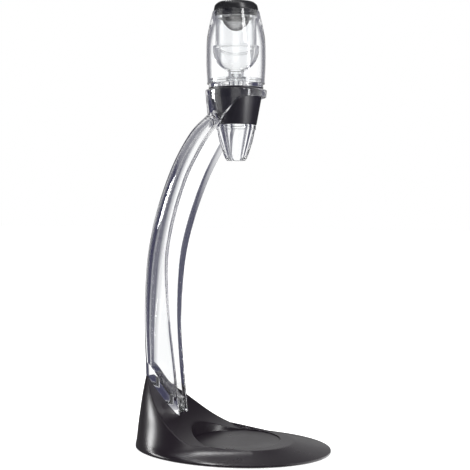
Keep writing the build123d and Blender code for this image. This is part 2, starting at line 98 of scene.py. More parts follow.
@dataclass(frozen=True)
class Corner:
    """One corner of a turned outline, in millimetres, and how far its rounding reaches."""

    r: float
    z: float
    bend: float = 0.0


def corners(*points: Point2, bend: float = 0.0) -> list[Corner]:
    """Several corners with the same rounding."""
    return [Corner(r, z, bend) for r, z in points]


def between(a: Vector, b: Vector, t: float, low: float, high: float) -> Vector:
    """Point at t on the line that passes a at low and b at high."""
    return a * ((high - t) / (high - low)) + b * ((t - low) / (high - low))


def smooth_run(points: Sequence[Sequence[float]], steps: int) -> list[tuple[float, ...]]:
    """Fine points of a centripetal Catmull-Rom curve through coarse ones.

    Args:
        points: Coarse points of any one dimension.
        steps: Fine points per coarse interval.

    Returns:
        The fine points, both ends included.
    """
    given = [Vector(p) for p in points]
    ends = [given[0] * 2 - given[1], *given, given[-1] * 2 - given[-2]]
    fine: list[tuple[float, ...]] = []
    for i in range(1, len(ends) - 2):
        near = ends[i - 1:i + 3]
        k = [0.0]
        for a, b in zip(near, near[1:]):
            k.append(k[-1] + max((b - a).length, TINY) ** 0.5)
        for s in range(steps):
            t = k[1] + (k[2] - k[1]) * s / steps
            first = [between(near[j], near[j + 1], t, k[j], k[j + 1]) for j in range(3)]
            second = [between(first[j], first[j + 1], t, k[j], k[j + 2]) for j in range(2)]
            fine.append(tuple(between(second[0], second[1], t, k[1], k[2])))
    fine.append(tuple(given[-1]))
    return fine


def even_run(rows: Sequence[Sequence[float]], steps: int) -> list[list[float]]:
    """Smooth change of several numbers through evenly spaced rows of them.

    Args:
        rows: Rows of numbers.
        steps: Fine rows per interval.

    Returns:
        Fine rows, both ends included.
    """
    ends = [[2 * a - b for a, b in zip(rows[0], rows[1])], *rows,
            [2 * a - b for a, b in zip(rows[-1], rows[-2])]]
    fine = []
    for i in range(1, len(ends) - 2):
        for s in range(steps):
            t = s / steps
            fine.append([
                0.5 * (2 * b + (c - a) * t + (2 * a - 5 * b + 4 * c - d) * t * t
                       + (3 * b - a - 3 * c + d) * t ** 3)
                for a, b, c, d in zip(*ends[i - 1:i + 3])])
    fine.append(list(rows[-1]))
    return fine


def at_height(line: tuple[Point2, Point2], z: float) -> float:
    """Value at a height, on the straight line through two pairs of value and height."""
    (r0, z0), (r1, z1) = line
    return r0 + (r1 - r0) * (z - z0) / (z1 - z0)


def rounded(outline: Sequence[Corner], steps: int = 4) -> list[Point2]:
    """Closed outline with its corners rounded.

    Args:
        outline: Corners in order; a rounding reaches at most 45 percent along each side.
        steps: Pieces of each rounding.

    Returns:
        Outline points in order.
    """
    out: list[Point2] = []
    for i, corner in enumerate(outline):
        here = Vector((corner.r, corner.z))
        if corner.bend <= 0:
            out.append((here.x, here.y))
            continue
        ends = []
        for other in (outline[i - 1], outline[(i + 1) % len(outline)]):
            side = Vector((other.r, other.z)) - here
            reach = min(corner.bend, side.length * 0.45)
            ends.append(here + side.normalized() * reach)
        for s in range(steps + 1):
            t = s / steps
            point = ends[0] * (1 - t) ** 2 + here * 2 * t * (1 - t) + ends[1] * t ** 2
            out.append((point.x, point.y))
    return out


@contextmanager
def edited(mesh: bpy.types.Mesh) -> Iterator[bmesh.types.BMesh]:
    """Opens a mesh for editing and writes it back afterwards.

    Args:
        mesh: The mesh.

    Returns:
        The open mesh.
    """
    work = bmesh.new()
    work.from_mesh(mesh)
    yield work
    work.to_mesh(mesh)
    work.free()


def link_piece(name: str, data: bpy.types.ID) -> Piece:
    """New object in the scene.

    Args:
        name: Name of the object.
        data: Its mesh, lamp or camera.

    Returns:
        The object.
    """
    piece = bpy.data.objects.new(name, data)
    bpy.context.scene.collection.objects.link(piece)
    return piece


def shade(mesh: bpy.types.Mesh, sharp_degrees: float) -> None:
    """Smooth shading with sharp edges above an angle."""
    mesh.shade_smooth()
    mesh.set_sharp_from_angle(angle=math.radians(sharp_degrees))


def solid_piece(name: str, points: Iterable[Sequence[float]], faces: Iterable[Sequence[int]],
                sharp_degrees: float = 32.0) -> Piece:
    """Object from points in millimetres, with outward normals and smooth shading.

    Args:
        name: Name of the object and its mesh.
        points: Points in millimetres in the frame's axes.
        faces: Faces as lists of point numbers.
        sharp_degrees: Edges that turn more than this stay sharp.

    Returns:
        The linked object.
    """
    mesh = bpy.data.meshes.new(name)
    mesh.from_pydata([[c * MM for c in p] for p in points], [], [list(f) for f in faces])
    with edited(mesh) as work:
        bmesh.ops.remove_doubles(work, verts=work.verts, dist=FINE_WELD)
        bmesh.ops.dissolve_degenerate(work, edges=work.edges, dist=NO_LENGTH)
        bmesh.ops.recalc_face_normals(work, faces=work.faces)
    shade(mesh, sharp_degrees)
    return link_piece(name, mesh)


def settle(piece: Piece, sharp_degrees: float = 32.0) -> Piece:
    """Applies a piece's modifiers to its mesh.

    Args:
        piece: Object with modifiers.
        sharp_degrees: Edges that turn more than this stay sharp.

    Returns:
        The same object with a plain mesh.
    """
    seen = piece.evaluated_get(bpy.context.evaluated_depsgraph_get())
    mesh = bpy.data.meshes.new_from_object(seen)
    piece.modifiers.clear()
    piece.data = mesh
    shade(mesh, sharp_degrees)
    return piece


def combine(piece: Piece, tool: Piece, cut: Cut) -> Piece:
    """Combines a piece with a tool mesh, which is used up.

    Args:
        piece: Object that stays.
        tool: Object that is removed afterwards.
        cut: How they are combined.

    Returns:
        The piece.
    """
    step = piece.modifiers.new("cut", "BOOLEAN")
    step.operation = cut.value
    step.solver = "EXACT"
    step.object = tool
    settle(piece)
    bpy.data.objects.remove(tool)
    with edited(piece.data) as work:
        bmesh.ops.remove_doubles(work, verts=work.verts, dist=WELD)
        bmesh.ops.dissolve_degenerate(work, edges=work.edges, dist=WELD)
    return piece


def ring_faces(count: int, rows: int, closed: bool, capped: bool = False) -> list[Sequence[int]]:
    """Quads between neighbouring columns of points that stand round a loop.

    Args:
        count: Columns round the loop.
        rows: Points in each column.
        closed: Whether each column's last point joins its first.
        capped: Whether a flat face closes each end of the columns.

    Returns:
        Faces as point numbers, with columns stored one after another.
    """
    faces: list[Sequence[int]] = []
    for k in range(count):
        a, b = k * rows, (k + 1) % count * rows
        for j in range(rows if closed else rows - 1):
            i = (j + 1) % rows
            faces.append((a + j, b + j, b + i, a + i))
    if capped:
        faces += [[k * rows for k in range(count)], [k * rows + rows - 1 for k in range(count)]]
    return faces


def turned_piece(name: str, outline: Sequence[Point2], axis_y: float, around: int, lift: float = 0.0,
                 plug: bool = False) -> Piece:
    """Piece turned about a vertical axis.

    Args:
        name: Name of the piece.
        outline: Closed outline of (radius, height) points in millimetres, or one side of a plug.
        axis_y: Place of the axis along Y.
        around: Points round the axis.
        lift: Added to each height.
        plug: Whether the outline is one side, closed by a flat face at each end.

    Returns:
        The linked object.
    """
    points = []
    for k in range(around):
        angle = 2 * math.pi * k / around
        points += [(r * math.cos(angle), axis_y + r * math.sin(angle), z + lift) for r, z in outline]
    return solid_piece(name, points, ring_faces(around, len(outline), not plug, plug))


def lofted_piece(name: str, rings: Sequence[Sequence[Sequence[float]]]) -> Piece:
    """Piece through rings of points, closed by a flat face at each end.

    Args:
        name: Name of the piece.
        rings: Rings with the same number of points, in millimetres.

    Returns:
        The linked object.
    """
    count = len(rings[0])
    faces: list[Sequence[int]] = []
    for i in range(len(rings) - 1):
        a, b = i * count, (i + 1) * count
        faces += [(a + j, a + (j + 1) % count, b + (j + 1) % count, b + j) for j in range(count)]
    faces += [list(range(count)), [(len(rings) - 1) * count + j for j in range(count - 1, -1, -1)]]
    return solid_piece(name, [p for ring in rings for p in ring], faces)


def side_prism(name: str, outline: Sequence[Point2], half_width: float) -> Piece:
    """Prism from a closed (y, z) outline, drawn out to both sides."""
    return lofted_piece(name, [[(x, y, z) for y, z in outline] for x in (-half_width, half_width)])


# Shader helpers


class Wiring:
    """Adds and joins the nodes of one shader tree."""

    def __init__(self, tree: bpy.types.NodeTree) -> None:
        """Starts on a tree."""
        self.tree = tree

    def node(self, kind: str, **settings: object) -> Node:
        """A new node.

        Args:
            kind: Blender's name for its kind.
            settings: Its settings.

        Returns:
            The node.
        """
        made = self.tree.nodes.new(kind)
        for key, value in settings.items():
            setattr(made, key, value)
        return made

    def join(self, out: Socket, into: Socket) -> None:
        """Links an output to an input."""
        self.tree.links.new(out, into)

    def feed(self, slot: Socket, term: Term) -> None:
        """Sets an input to a number or links it to a socket.

        Args:
            slot: The input.
            term: The number or socket.
        """
        if isinstance(term, (int, float)):
            slot.default_value = term
        else:
            self.join(term, slot)

    def coords(self, kind: str = "Object") -> Socket:
        """Coordinates of a kind."""
        return self.node("ShaderNodeTexCoord").outputs[kind]

    def axes(self, coords: Socket) -> Node:
        """Node with the X, Y and Z of some coordinates.

        Args:
            coords: The coordinates.

        Returns:
            The node.
        """
        made = self.node("ShaderNodeSeparateXYZ")
        self.join(coords, made.inputs[0])
        return made

    def maths(self, operation: str, *terms: Term) -> Socket:
        """Result of a maths node.

        Args:
            operation: What it does.
            terms: Numbers or sockets that it takes.

        Returns:
            The result.
        """
        made = self.node("ShaderNodeMath", operation=operation)
        for slot, term in zip(made.inputs, terms):
            self.feed(slot, term)
        return made.outputs[0]

    def noise(self, coords: Socket, scale: float, detail: float) -> Socket:
        """Factor of a noise texture.

        Args:
            coords: Where it is read.
            scale: Its scale.
            detail: Its detail.

        Returns:
            The factor.
        """
        made = self.node("ShaderNodeTexNoise")
        made.inputs["Scale"].default_value = scale
        made.inputs["Detail"].default_value = detail
        self.join(coords, made.inputs["Vector"])
        return made.outputs[0]

    def span(self, value: Socket, low: float, high: float, to: Point2) -> Socket:
        """Value moved from one range to another, held at its ends.

        Args:
            value: The value.
            low: Start of the first range.
            high: End of the first range.
            to: Both ends of the second range.

        Returns:
            The moved value.
        """
        made = self.node("ShaderNodeMapRange")
        for key, number in (("From Min", low), ("From Max", high), ("To Min", to[0]), ("To Max", to[1])):
            made.inputs[key].default_value = number
        self.join(value, made.inputs["Value"])
        return made.outputs[0]

    def blend(self, share: Socket, first: Colour, second: Colour) -> Socket:
        """Colour between two colours.

        Args:
            share: Share of the second colour.
            first: The first colour.
            second: The second colour.

        Returns:
            The colour.
        """
        made = self.node("ShaderNodeMix", data_type="RGBA")
        made.inputs[6].default_value = (*first, 1)
        made.inputs[7].default_value = (*second, 1)
        self.join(share, made.inputs[0])
        return made.outputs[2]

    def emission(self, strength: Term = 1.0) -> Node:
        """A new emission node.

        Args:
            strength: Its strength.

        Returns:
            The node.
        """
        made = self.node("ShaderNodeEmission")
        self.feed(made.inputs["Strength"], strength)
        return made

    def mix(self, share: Socket, first: Node, second: Node) -> Node:
        """Shader between two shaders.

        Args:
            share: Share of the second shader.
            first: The first shader.
            second: The second shader.

        Returns:
            The mix.
        """
        made = self.node("ShaderNodeMixShader")
        self.join(share, made.inputs[0])
        self.join(first.outputs[0], made.inputs[1])
        self.join(second.outputs[0], made.inputs[2])
        return made

    def surface(self, shader: Node) -> None:
        """Sends a shader to the tree's output."""
        out = next(n for n in self.tree.nodes if n.type.startswith("OUTPUT"))
        self.join(shader.outputs[0], out.inputs["Surface"])


GroupParts = tuple[bpy.types.NodeTree, Wiring, Node, Node]


def node_group(name: str, inputs: dict[str, float], outputs: Sequence[str]) -> GroupParts:
    """New shader group with number sockets.

    Args:
        name: Name of the group.
        inputs: Input names and their usual values.
        outputs: Output names.

    Returns:
        The tree, its wiring, its input node and its output node.
    """
    tree = bpy.data.node_groups.new(name, "ShaderNodeTree")
    for key, value in inputs.items():
        made = tree.interface.new_socket(name=key, in_out="INPUT", socket_type="NodeSocketFloat")
        made.default_value = value
    for key in outputs:
        tree.interface.new_socket(name=key, in_out="OUTPUT", socket_type="NodeSocketFloat")
    wiring = Wiring(tree)
    return tree, wiring, wiring.node("NodeGroupInput"), wiring.node("NodeGroupOutput")


@dataclass
class Effects:
    """Shader groups that several finishes share."""

    grain: bpy.types.NodeTree = field(init=False)
    marks: bpy.types.NodeTree = field(init=False)
    wear: bpy.types.NodeTree = field(init=False)

    def __post_init__(self) -> None:
        """Builds the groups once."""
        self.grain = self.moulded_grain()
        self.marks = self.handling_marks()
        self.wear = self.edge_wear()

    def moulded_grain(self) -> bpy.types.NodeTree:
        """Fine grain of a moulded surface and its slow variation.

        Returns:
            Group with Scale and outputs Height and Variation.
        """
        tree, w, source, result = node_group("moulded grain", {"Scale": 1800.0}, ["Height", "Variation"])
        coords = w.coords()
        fine = w.node("ShaderNodeTexNoise")
        fine.inputs["Detail"].default_value = 3.0
        cells = w.node("ShaderNodeTexVoronoi", feature="F1")
        for made in (fine, cells):
            w.join(coords, made.inputs["Vector"])
            w.join(source.outputs["Scale"], made.inputs["Scale"])
        height = w.maths("ADD", w.maths("MULTIPLY", fine.outputs[0], 0.6),
                         w.maths("MULTIPLY", cells.outputs["Distance"], 0.4))
        w.join(height, result.inputs["Height"])
        slow = w.maths("ADD", w.maths("MULTIPLY", w.noise(coords, 22.0, 4.0), 0.7),
                       w.maths("MULTIPLY", w.noise(coords, 160.0, 2.0), 0.3))
        w.join(slow, result.inputs["Variation"])
        return tree

    def handling_marks(self) -> bpy.types.NodeTree:
        """Soft smudges and hair-fine scratches of a handled surface.

        Returns:
            Group with outputs Smudge and Scratch, both from 0 to 1.
        """
        tree, w, source, result = node_group("handling marks", {"Amount": 1.0}, ["Smudge", "Scratch"])
        coords = w.coords()
        smudge = w.span(w.noise(coords, 38.0, 5.0), 0.52, 0.72, (0.0, 1.0))
        w.join(w.maths("MULTIPLY", smudge, source.outputs["Amount"]), result.inputs["Smudge"])
        turn = w.node("ShaderNodeMapping")
        turn.inputs["Rotation"].default_value = (0.5, 0.3, 0.9)
        turn.inputs["Scale"].default_value = (1.0, 26.0, 26.0)
        w.join(coords, turn.inputs["Vector"])
        lines = w.span(w.noise(turn.outputs[0], 30.0, 2.0), 0.66, 0.72, (0.0, 1.0))
        w.join(w.maths("MULTIPLY", lines, source.outputs["Amount"]), result.inputs["Scratch"])
        return tree

    def edge_wear(self) -> bpy.types.NodeTree:
        """Mask of worn corners from the surface's own curvature.

        Returns:
            Group with input Reach and output Wear from 0 to 1.
        """
        tree, w, source, result = node_group("edge wear", {"Reach": 0.06}, ["Wear"])
        coords = w.coords()
        bent = w.maths("SUBTRACT", w.node("ShaderNodeNewGeometry").outputs["Pointiness"], 0.5)
        share = w.maths("DIVIDE", bent, source.outputs["Reach"])
        broken = w.span(w.noise(coords, 240.0, 4.0), 0.35, 0.65, (0.2, 1.0))
        both = w.node("ShaderNodeMath", operation="MULTIPLY", use_clamp=True)
        w.join(share, both.inputs[0])
        w.join(broken, both.inputs[1])
        w.join(both.outputs[0], result.inputs["Wear"])
        return tree


class Finish:
    """Common start of every finish: a material with a Principled shader."""

    name: str

    def start(self) -> tuple[bpy.types.Material, Wiring, Node]:
        """Empty material of this finish's name.

        Returns:
            The material, its wiring and its Principled node.
        """
        material = bpy.data.materials.new(self.name)
        material.use_nodes = True
        wiring = Wiring(material.node_tree)
        return material, wiring, material.node_tree.nodes["Principled BSDF"]

    @staticmethod
    def use(wiring: Wiring, tree: bpy.types.NodeTree, **values: float) -> Node:
        """Places a shared effect with its own values.

        Args:
            wiring: Wiring of the material.
            tree: The effect.
            values: Values of its inputs.

        Returns:
            The effect's node.
        """
        made = wiring.node("ShaderNodeGroup")
        made.node_tree = tree
        for key, value in values.items():
            made.inputs[key].default_value = value
        return made

    @staticmethod
    def bump(wiring: Wiring, height: Socket, depth: float, shader: Node) -> None:
        """Bends the shader's normal along a height.

        Args:
            wiring: Wiring of the material.
            height: The height, from 0 to 1.
            depth: What a height of 1 means, in metres.
            shader: Node that gets the normal.
        """
        made = wiring.node("ShaderNodeBump")
        made.inputs["Strength"].default_value = 1.0
        made.inputs["Distance"].default_value = depth
        wiring.join(height, made.inputs["Height"])
        wiring.join(made.outputs["Normal"], shader.inputs["Normal"])


@dataclass(frozen=True)
class Moulding(Finish):
    """Opaque moulded plastic, rubber or silicone."""

    name: str
    colour: Colour
    worn: Colour
    roughness: Point2
    grain_scale: float
    grain_depth: float
    specular: float = 0.5
    smudged: float = 0.6

    def build(self, effects: Effects) -> bpy.types.Material:
        """Material with grain, slow variation, smudges and paler corners.

        Args:
            effects: Shared shader groups.

        Returns:
            The material.
        """
        material, w, shader = self.start()
        grain = self.use(w, effects.grain, Scale=self.grain_scale)
        marks = self.use(w, effects.marks, Amount=0.5)
        wear = self.use(w, effects.wear, Reach=WEAR_REACH)
        low, high = self.roughness
        rough = w.span(grain.outputs["Variation"], 0.35, 0.65, self.roughness)
        smudge = w.maths("MULTIPLY", marks.outputs["Smudge"], (high - low) * self.smudged)
        rough = w.maths("ADD", rough, smudge)
        w.join(rough, shader.inputs["Roughness"])
        w.join(w.blend(wear.outputs["Wear"], self.colour, self.worn), shader.inputs["Base Color"])
        self.bump(w, grain.outputs["Height"], self.grain_depth, shader)
        shader.inputs["Specular IOR Level"].default_value = self.specular
        return material


@dataclass(frozen=True)
class ClearPlastic(Finish):
    """Polished clear plastic whose base colour is darkened towards its grazing sides: a painted shade
    standing in for the dark edges that thick mouldings show.
    """

    name: str
    colour: Colour
    # The next two: the colour of the painted shade on the sides that turn away from the view, and the facing
    # value where that painted shade begins
    rim: Colour
    painted_rim_start: float = 0.55
    roughness: float = 0.012
    smudged: float = 0.03
    ripple: float = 0.000004
    ripple_scale: float = 60.0
    ior: float = 1.49
    shadow: Colour = (0.9, 0.9, 0.9)

    def build(self, effects: Effects) -> bpy.types.Material:
        """Material that lets lamp light through to what is inside it.

        Args:
            effects: Shared shader groups.

        Returns:
            The material.
        """
        material, w, shader = self.start()
        shader.inputs["Transmission Weight"].default_value = 1.0
        shader.inputs["Metallic"].default_value = 0.0
        shader.inputs["IOR"].default_value = self.ior
        marks = self.use(w, effects.marks, Amount=1.0)
        rough = w.maths("ADD", w.maths("MULTIPLY", marks.outputs["Smudge"], self.smudged), self.roughness)
        w.join(rough, shader.inputs["Roughness"])
        # Painted shade: the base colour darkens towards grazing angles, in place of the dark refracted edges
        facing = w.node("ShaderNodeLayerWeight")
        facing.inputs["Blend"].default_value = 0.5
        painted_rim_share = w.span(facing.outputs["Facing"], self.painted_rim_start, 1.0, (0.0, 1.0))
        w.join(w.blend(painted_rim_share, self.colour, self.rim), shader.inputs["Base Color"])
        self.bump(w, w.noise(w.coords(), self.ripple_scale, 1.0), self.ripple, shader)
        self.pass_light(w, shader)
        return material

    def pass_light(self, w: Wiring, shader: Node) -> None:
        """Makes shadow rays go through, so that the inside is lit.

        Args:
            w: Wiring of the material.
            shader: Shader for the other rays.
        """
        clear = w.node("ShaderNodeBsdfTransparent")
        clear.inputs["Color"].default_value = (*self.shadow, 1)
        w.surface(w.mix(w.node("ShaderNodeLightPath").outputs["Is Shadow Ray"], shader, clear))


@dataclass(frozen=True)
class Metal(Finish):
    """Steel with fine directional lines."""

    name: str
    colour: Colour
    roughness: Point2
    line_scale: float = 900.0
    line_depth: float = 0.000006
    scratched: float = 0.1
    corner_gain: float = 1.25

    def build(self, effects: Effects) -> bpy.types.Material:
        """Material with lines, smudges and bright corners.

        Args:
            effects: Shared shader groups.

        Returns:
            The material.
        """
        material, w, shader = self.start()
        shader.inputs["Metallic"].default_value = 1.0
        marks = self.use(w, effects.marks, Amount=1.0)
        wear = self.use(w, effects.wear, Reach=WEAR_REACH)
        grain = self.use(w, effects.grain, Scale=self.line_scale)
        rough = w.span(grain.outputs["Variation"], 0.3, 0.7, self.roughness)
        rough = w.maths("ADD", rough, w.maths("MULTIPLY", marks.outputs["Scratch"], self.scratched))
        w.join(rough, shader.inputs["Roughness"])
        bright = tuple(min(1.0, c * self.corner_gain) for c in self.colour)
        w.join(w.blend(wear.outputs["Wear"], self.colour, bright), shader.inputs["Base Color"])
        self.bump(w, grain.outputs["Height"], self.line_depth, shader)
        return material


@dataclass
class Wardrobe:
    """All the finishes of the object, built once, and how a piece gets one."""

    effects: Effects = field(default_factory=Effects)
    made: dict[Slot, bpy.types.Material] = field(init=False)
    thin: bpy.types.Material = field(init=False)

    def __post_init__(self) -> None:
        """Builds the materials."""
        recipes: dict[Slot, Moulding | ClearPlastic | Metal] = {
            Slot.BLACK_SATIN: Moulding("satin black moulding", (0.012, 0.009, 0.013), (0.017, 0.014, 0.018),
                                       (0.27, 0.31), 2600.0, 0.00001, specular=0.45),
            Slot.BLACK_GLOSS: Moulding("black cap plastic", (0.012, 0.012, 0.014), (0.05, 0.05, 0.052),
                                       (0.24, 0.31), 2200.0, 0.000008, specular=0.35),
            Slot.FOOT_RUBBER: Moulding("foot rubber", (0.012, 0.012, 0.012), (0.03, 0.03, 0.03),
                                       (0.65, 0.8), 1500.0, 0.00003),
            Slot.BLACK_SILICONE: Moulding("grip silicone", (0.008, 0.007, 0.012), (0.02, 0.019, 0.026),
                                          (0.30, 0.36), 2000.0, 0.00001, specular=0.45),
            # The third colour of each clear finish is its painted rim shade
            Slot.CLEAR_ACRYLIC: ClearPlastic("clear acrylic", (0.985, 0.99, 0.992), (0.12, 0.12, 0.15), 0.5),
            Slot.CLEAR_SILICONE: ClearPlastic("clear silicone", (0.9, 0.9, 0.9), (0.5, 0.5, 0.52),
                                              roughness=0.25),
            Slot.STEEL: Metal("blackened steel", (0.10, 0.10, 0.105), (0.30, 0.42)),
            Slot.MESH_STEEL: Metal("strainer wire", (0.24, 0.235, 0.23), (0.25, 0.38)),
        }
        self.made = {slot: recipe.build(self.effects) for slot, recipe in recipes.items()}
        # Thin walls get a darker, narrower painted rim shade
        walls = ClearPlastic("thin clear acrylic", (0.985, 0.99, 0.992), (0.08, 0.08, 0.11), 0.66)
        self.thin = walls.build(self.effects)

    def dress(self, piece: Piece, slot: Slot, body: Body, *replaced: str,
              thin: bool = False) -> Piece:
        """Gives a new piece its finish and its body, and hides the CAD nodes it stands for.

        Args:
            piece: The new piece.
            slot: Finish it takes.
            body: Body it rides on.
            replaced: CAD nodes that it stands for.
            thin: Whether it takes the look of thin clear walls instead, with their darker, narrower painted
                rim shade.

        Returns:
            The piece.
        """
        piece.data.materials.clear()
        piece.data.materials.append(self.thin if thin else self.made[slot])
        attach(piece, body.value)
        if replaced:
            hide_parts(*replaced)
        LOG.info("%s: %d points, %s", piece.name, len(piece.data.vertices), slot.value)
        return piece

    def repaint(self, node: str, slot: Slot) -> None:
        """Gives a CAD node that stays its finish.

        Args:
            node: Name of the node.
            slot: Its finish.
        """
        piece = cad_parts[node]
        for holder in piece.material_slots:
            holder.material = self.made[slot]
        LOG.info("%s: kept from the frame, %s", node, slot.value)


# The stand


@dataclass
class Base:
    """Black base: a shallow oval skirt, a round seat and a ramp up to a narrow heel."""

    length: float = 190.0
    width: float = 146.0
    foot_height: float = 0.8
    rim_height: float = 2.0
    platform_height: float = 9.5
    platform: Point2 = (42.0, -18.0)
    shoulder: Point2 = (58.5, 35.0)
    heel: tuple[tuple[float, float, float], ...] = (
        (20.0, 51.0, 42.0), (35.0, 43.0, 48.5), (50.0, 32.0, 58.0), (68.0, 13.4, 74.3))
    ramp_start: float = 1.0
    ramp_end: float = 82.0
    ramp_top: float = 66.0
    seat_radius: float = 42.0
    seat_y: float = -4.0
    seat_depth: float = 1.0
    seat_rings: Point2 = (0.55, 0.1)
    plate_inset: float = 4.0
    pocket_rise: float = 0.1
    ridge_round: float = 1.5
    ridge_steps: int = 4
    edge_round: float = 0.45
    rim_step: float = 0.04
    around: int = 288
    wall_steps: int = 24
    wall_rows: int = 26
    top_rows: int = 30
    sharp_degrees: float = 40.0

    def top_height(self, y: float) -> float:
        """Height of the platform and ramp at a distance behind the middle."""
        share = min(1.0, max(0.0, y - self.ramp_start) / (self.ramp_end - self.ramp_start))
        return self.platform_height + (self.ramp_top - self.platform_height) * share ** 2

    def foot_point(self, nx: float, ny: float, inset: float = 0.0) -> Point2:
        """Point of the foot's oval whose outward direction is given.

        Args:
            nx: Outward direction across.
            ny: Outward direction towards the back.
            inset: How far inside the oval the point lies.

        Returns:
            The point.
        """
        a, b = self.width / 2, self.length / 2
        scale = math.hypot(a * nx, b * ny)
        return a * a * nx / scale - inset * nx, b * b * ny / scale - inset * ny

    def seat_point(self, nx: float, ny: float, radius: float, z: float) -> Vector:
        """Point at a distance from the seat's middle in a direction."""
        return Vector((radius * nx, self.seat_y + radius * ny, z))

    def wall_line(self, nx: float, ny: float) -> list[Vector]:
        """Fine points of the wall above one place of the foot, up to the ridge.

        Args:
            nx: Outward direction across.
            ny: Outward direction towards the back.

        Returns:
            Points from the rim's top to the ridge.
        """
        coarse = [(*self.foot_point(nx, ny), self.foot_height + self.rim_height)]
        radius, y = max(self.platform, self.shoulder, key=lambda c: c[0] + c[1] * ny)
        coarse.append((radius * nx, y + radius * ny, self.platform_height))
        coarse += [(radius * nx, y + radius * ny, z) for z, radius, y in self.heel]
        fine = [Vector(p) for p in smooth_run(coarse, self.wall_steps)]
        kept = [fine[0]]
        for before, after in zip(fine, fine[1:]):
            low = before.z - self.top_height(before.y)
            high = after.z - self.top_height(after.y)
            if high >= 0:
                kept.append(before.lerp(after, low / (low - high)))
                break
            kept.append(after)
        kept[-1].z = self.top_height(kept[-1].y)
        return kept

    @staticmethod
    def spread(line: Sequence[Vector], count: int, stop: float) -> list[Vector]:
        """Evenly spaced points along a line, ending a given length before its end.

        Args:
            line: Fine points.
            count: Number of points wanted.
            stop: Length left out at the end.

        Returns:
            The points, the first one included.
        """
        lengths = [0.0]
        for a, b in zip(line, line[1:]):
            lengths.append(lengths[-1] + (b - a).length)
        out = []
        for j in range(count):
            want = max(0.0, lengths[-1] - stop) * j / (count - 1)
            i = max(1, next((n for n, v in enumerate(lengths) if v >= want - TINY), len(line) - 1))
            part = (want - lengths[i - 1]) / max(lengths[i] - lengths[i - 1], TINY)
            out.append(line[i - 1].lerp(line[i], min(1.0, max(0.0, part))))
        return out

    def column(self, k: int) -> list[Vector]:
        """All points of one column of the shell, from the plate's pocket to the seat's middle.

        Args:
            k: Number of the column.

        Returns:
            Points in order, the same number for each column.
        """
        angle = math.pi / 2 + 2 * math.pi * k / self.around
        nx, ny = math.cos(angle), math.sin(angle)
        e = self.edge_round
        low, rim = self.foot_height, self.foot_height + self.rim_height
        column = [Vector((*self.foot_point(nx, ny, inset), z)) for inset, z in (
            (self.plate_inset, rim + self.pocket_rise), (self.plate_inset, low), (e, low),
            (e * 0.3, low + e * 0.3), (0.0, low + e), (0.0, rim - e))]
        line = self.wall_line(nx, ny)
        wall = self.spread(line, self.wall_rows, self.ridge_round)
        wall[0] = wall[0].lerp(wall[1], self.rim_step)
        ridge = line[-1]
        seat_x, seat_y = self.seat_radius * nx, self.seat_y + self.seat_radius * ny
        inward = Vector((seat_x - ridge.x, seat_y - ridge.y, 0))
        near = ridge + inward.normalized() * self.ridge_round
        near.z = self.top_height(near.y)
        column += wall
        for j in range(1, self.ridge_steps):
            s = j / self.ridge_steps
            column.append(wall[-1] * (1 - s) ** 2 + ridge * 2 * s * (1 - s) + near * s ** 2)
        return column + self.top_strip(near, nx, ny)

    def top_strip(self, near: Vector, nx: float, ny: float) -> list[Vector]:
        """Points over the platform or ramp, down the seat's edge and across its floor.

        Args:
            near: First point behind the ridge.
            nx: Outward direction across.
            ny: Outward direction towards the back.

        Returns:
            Points in order.
        """
        radius, e = self.seat_radius, self.edge_round
        edge = self.seat_point(nx, ny, radius + e, 0)
        strip = []
        for j in range(self.top_rows):
            point = near.lerp(edge, j / (self.top_rows - 1))
            point.z = self.top_height(point.y)
            strip.append(point)
        floor = self.platform_height - self.seat_depth
        top = self.top_height(self.seat_y + radius * ny)
        spots = [(radius + e * 0.3, top - e * 0.25), (radius, min(top - e, floor + 0.9 * (top - floor))),
                 (radius, floor + e * 0.8), (radius - e * 0.3, floor + e * 0.2), (radius - e, floor)]
        spots += [(radius * share, floor) for share in self.seat_rings]
        return strip + [self.seat_point(nx, ny, r, z) for r, z in spots]

    def build(self) -> Piece:
        """Models the shell.

        Returns:
            The shell as one closed mesh.
        """
        columns = [self.column(k) for k in range(self.around)]
        points = [p for column in columns for p in column]
        faces = ring_faces(self.around, len(columns[0]), closed=False, capped=True)
        return solid_piece("base_moulding", points, faces, self.sharp_degrees)

    def dress(self, wardrobe: Wardrobe) -> None:
        """Builds the shell and gives it and the CAD pieces that stay their finishes.

        Args:
            wardrobe: The finishes.
        """
        wardrobe.dress(self.build(), Slot.BLACK_SATIN, Body.STAND, "base_shell")
        wardrobe.repaint("bottom_plate", Slot.BLACK_SATIN)
        wardrobe.repaint("foot_ring", Slot.FOOT_RUBBER)
        for node in ("plate_screws", "pillar_screws", "pillar_washers"):
            wardrobe.repaint(node, Slot.STEEL)


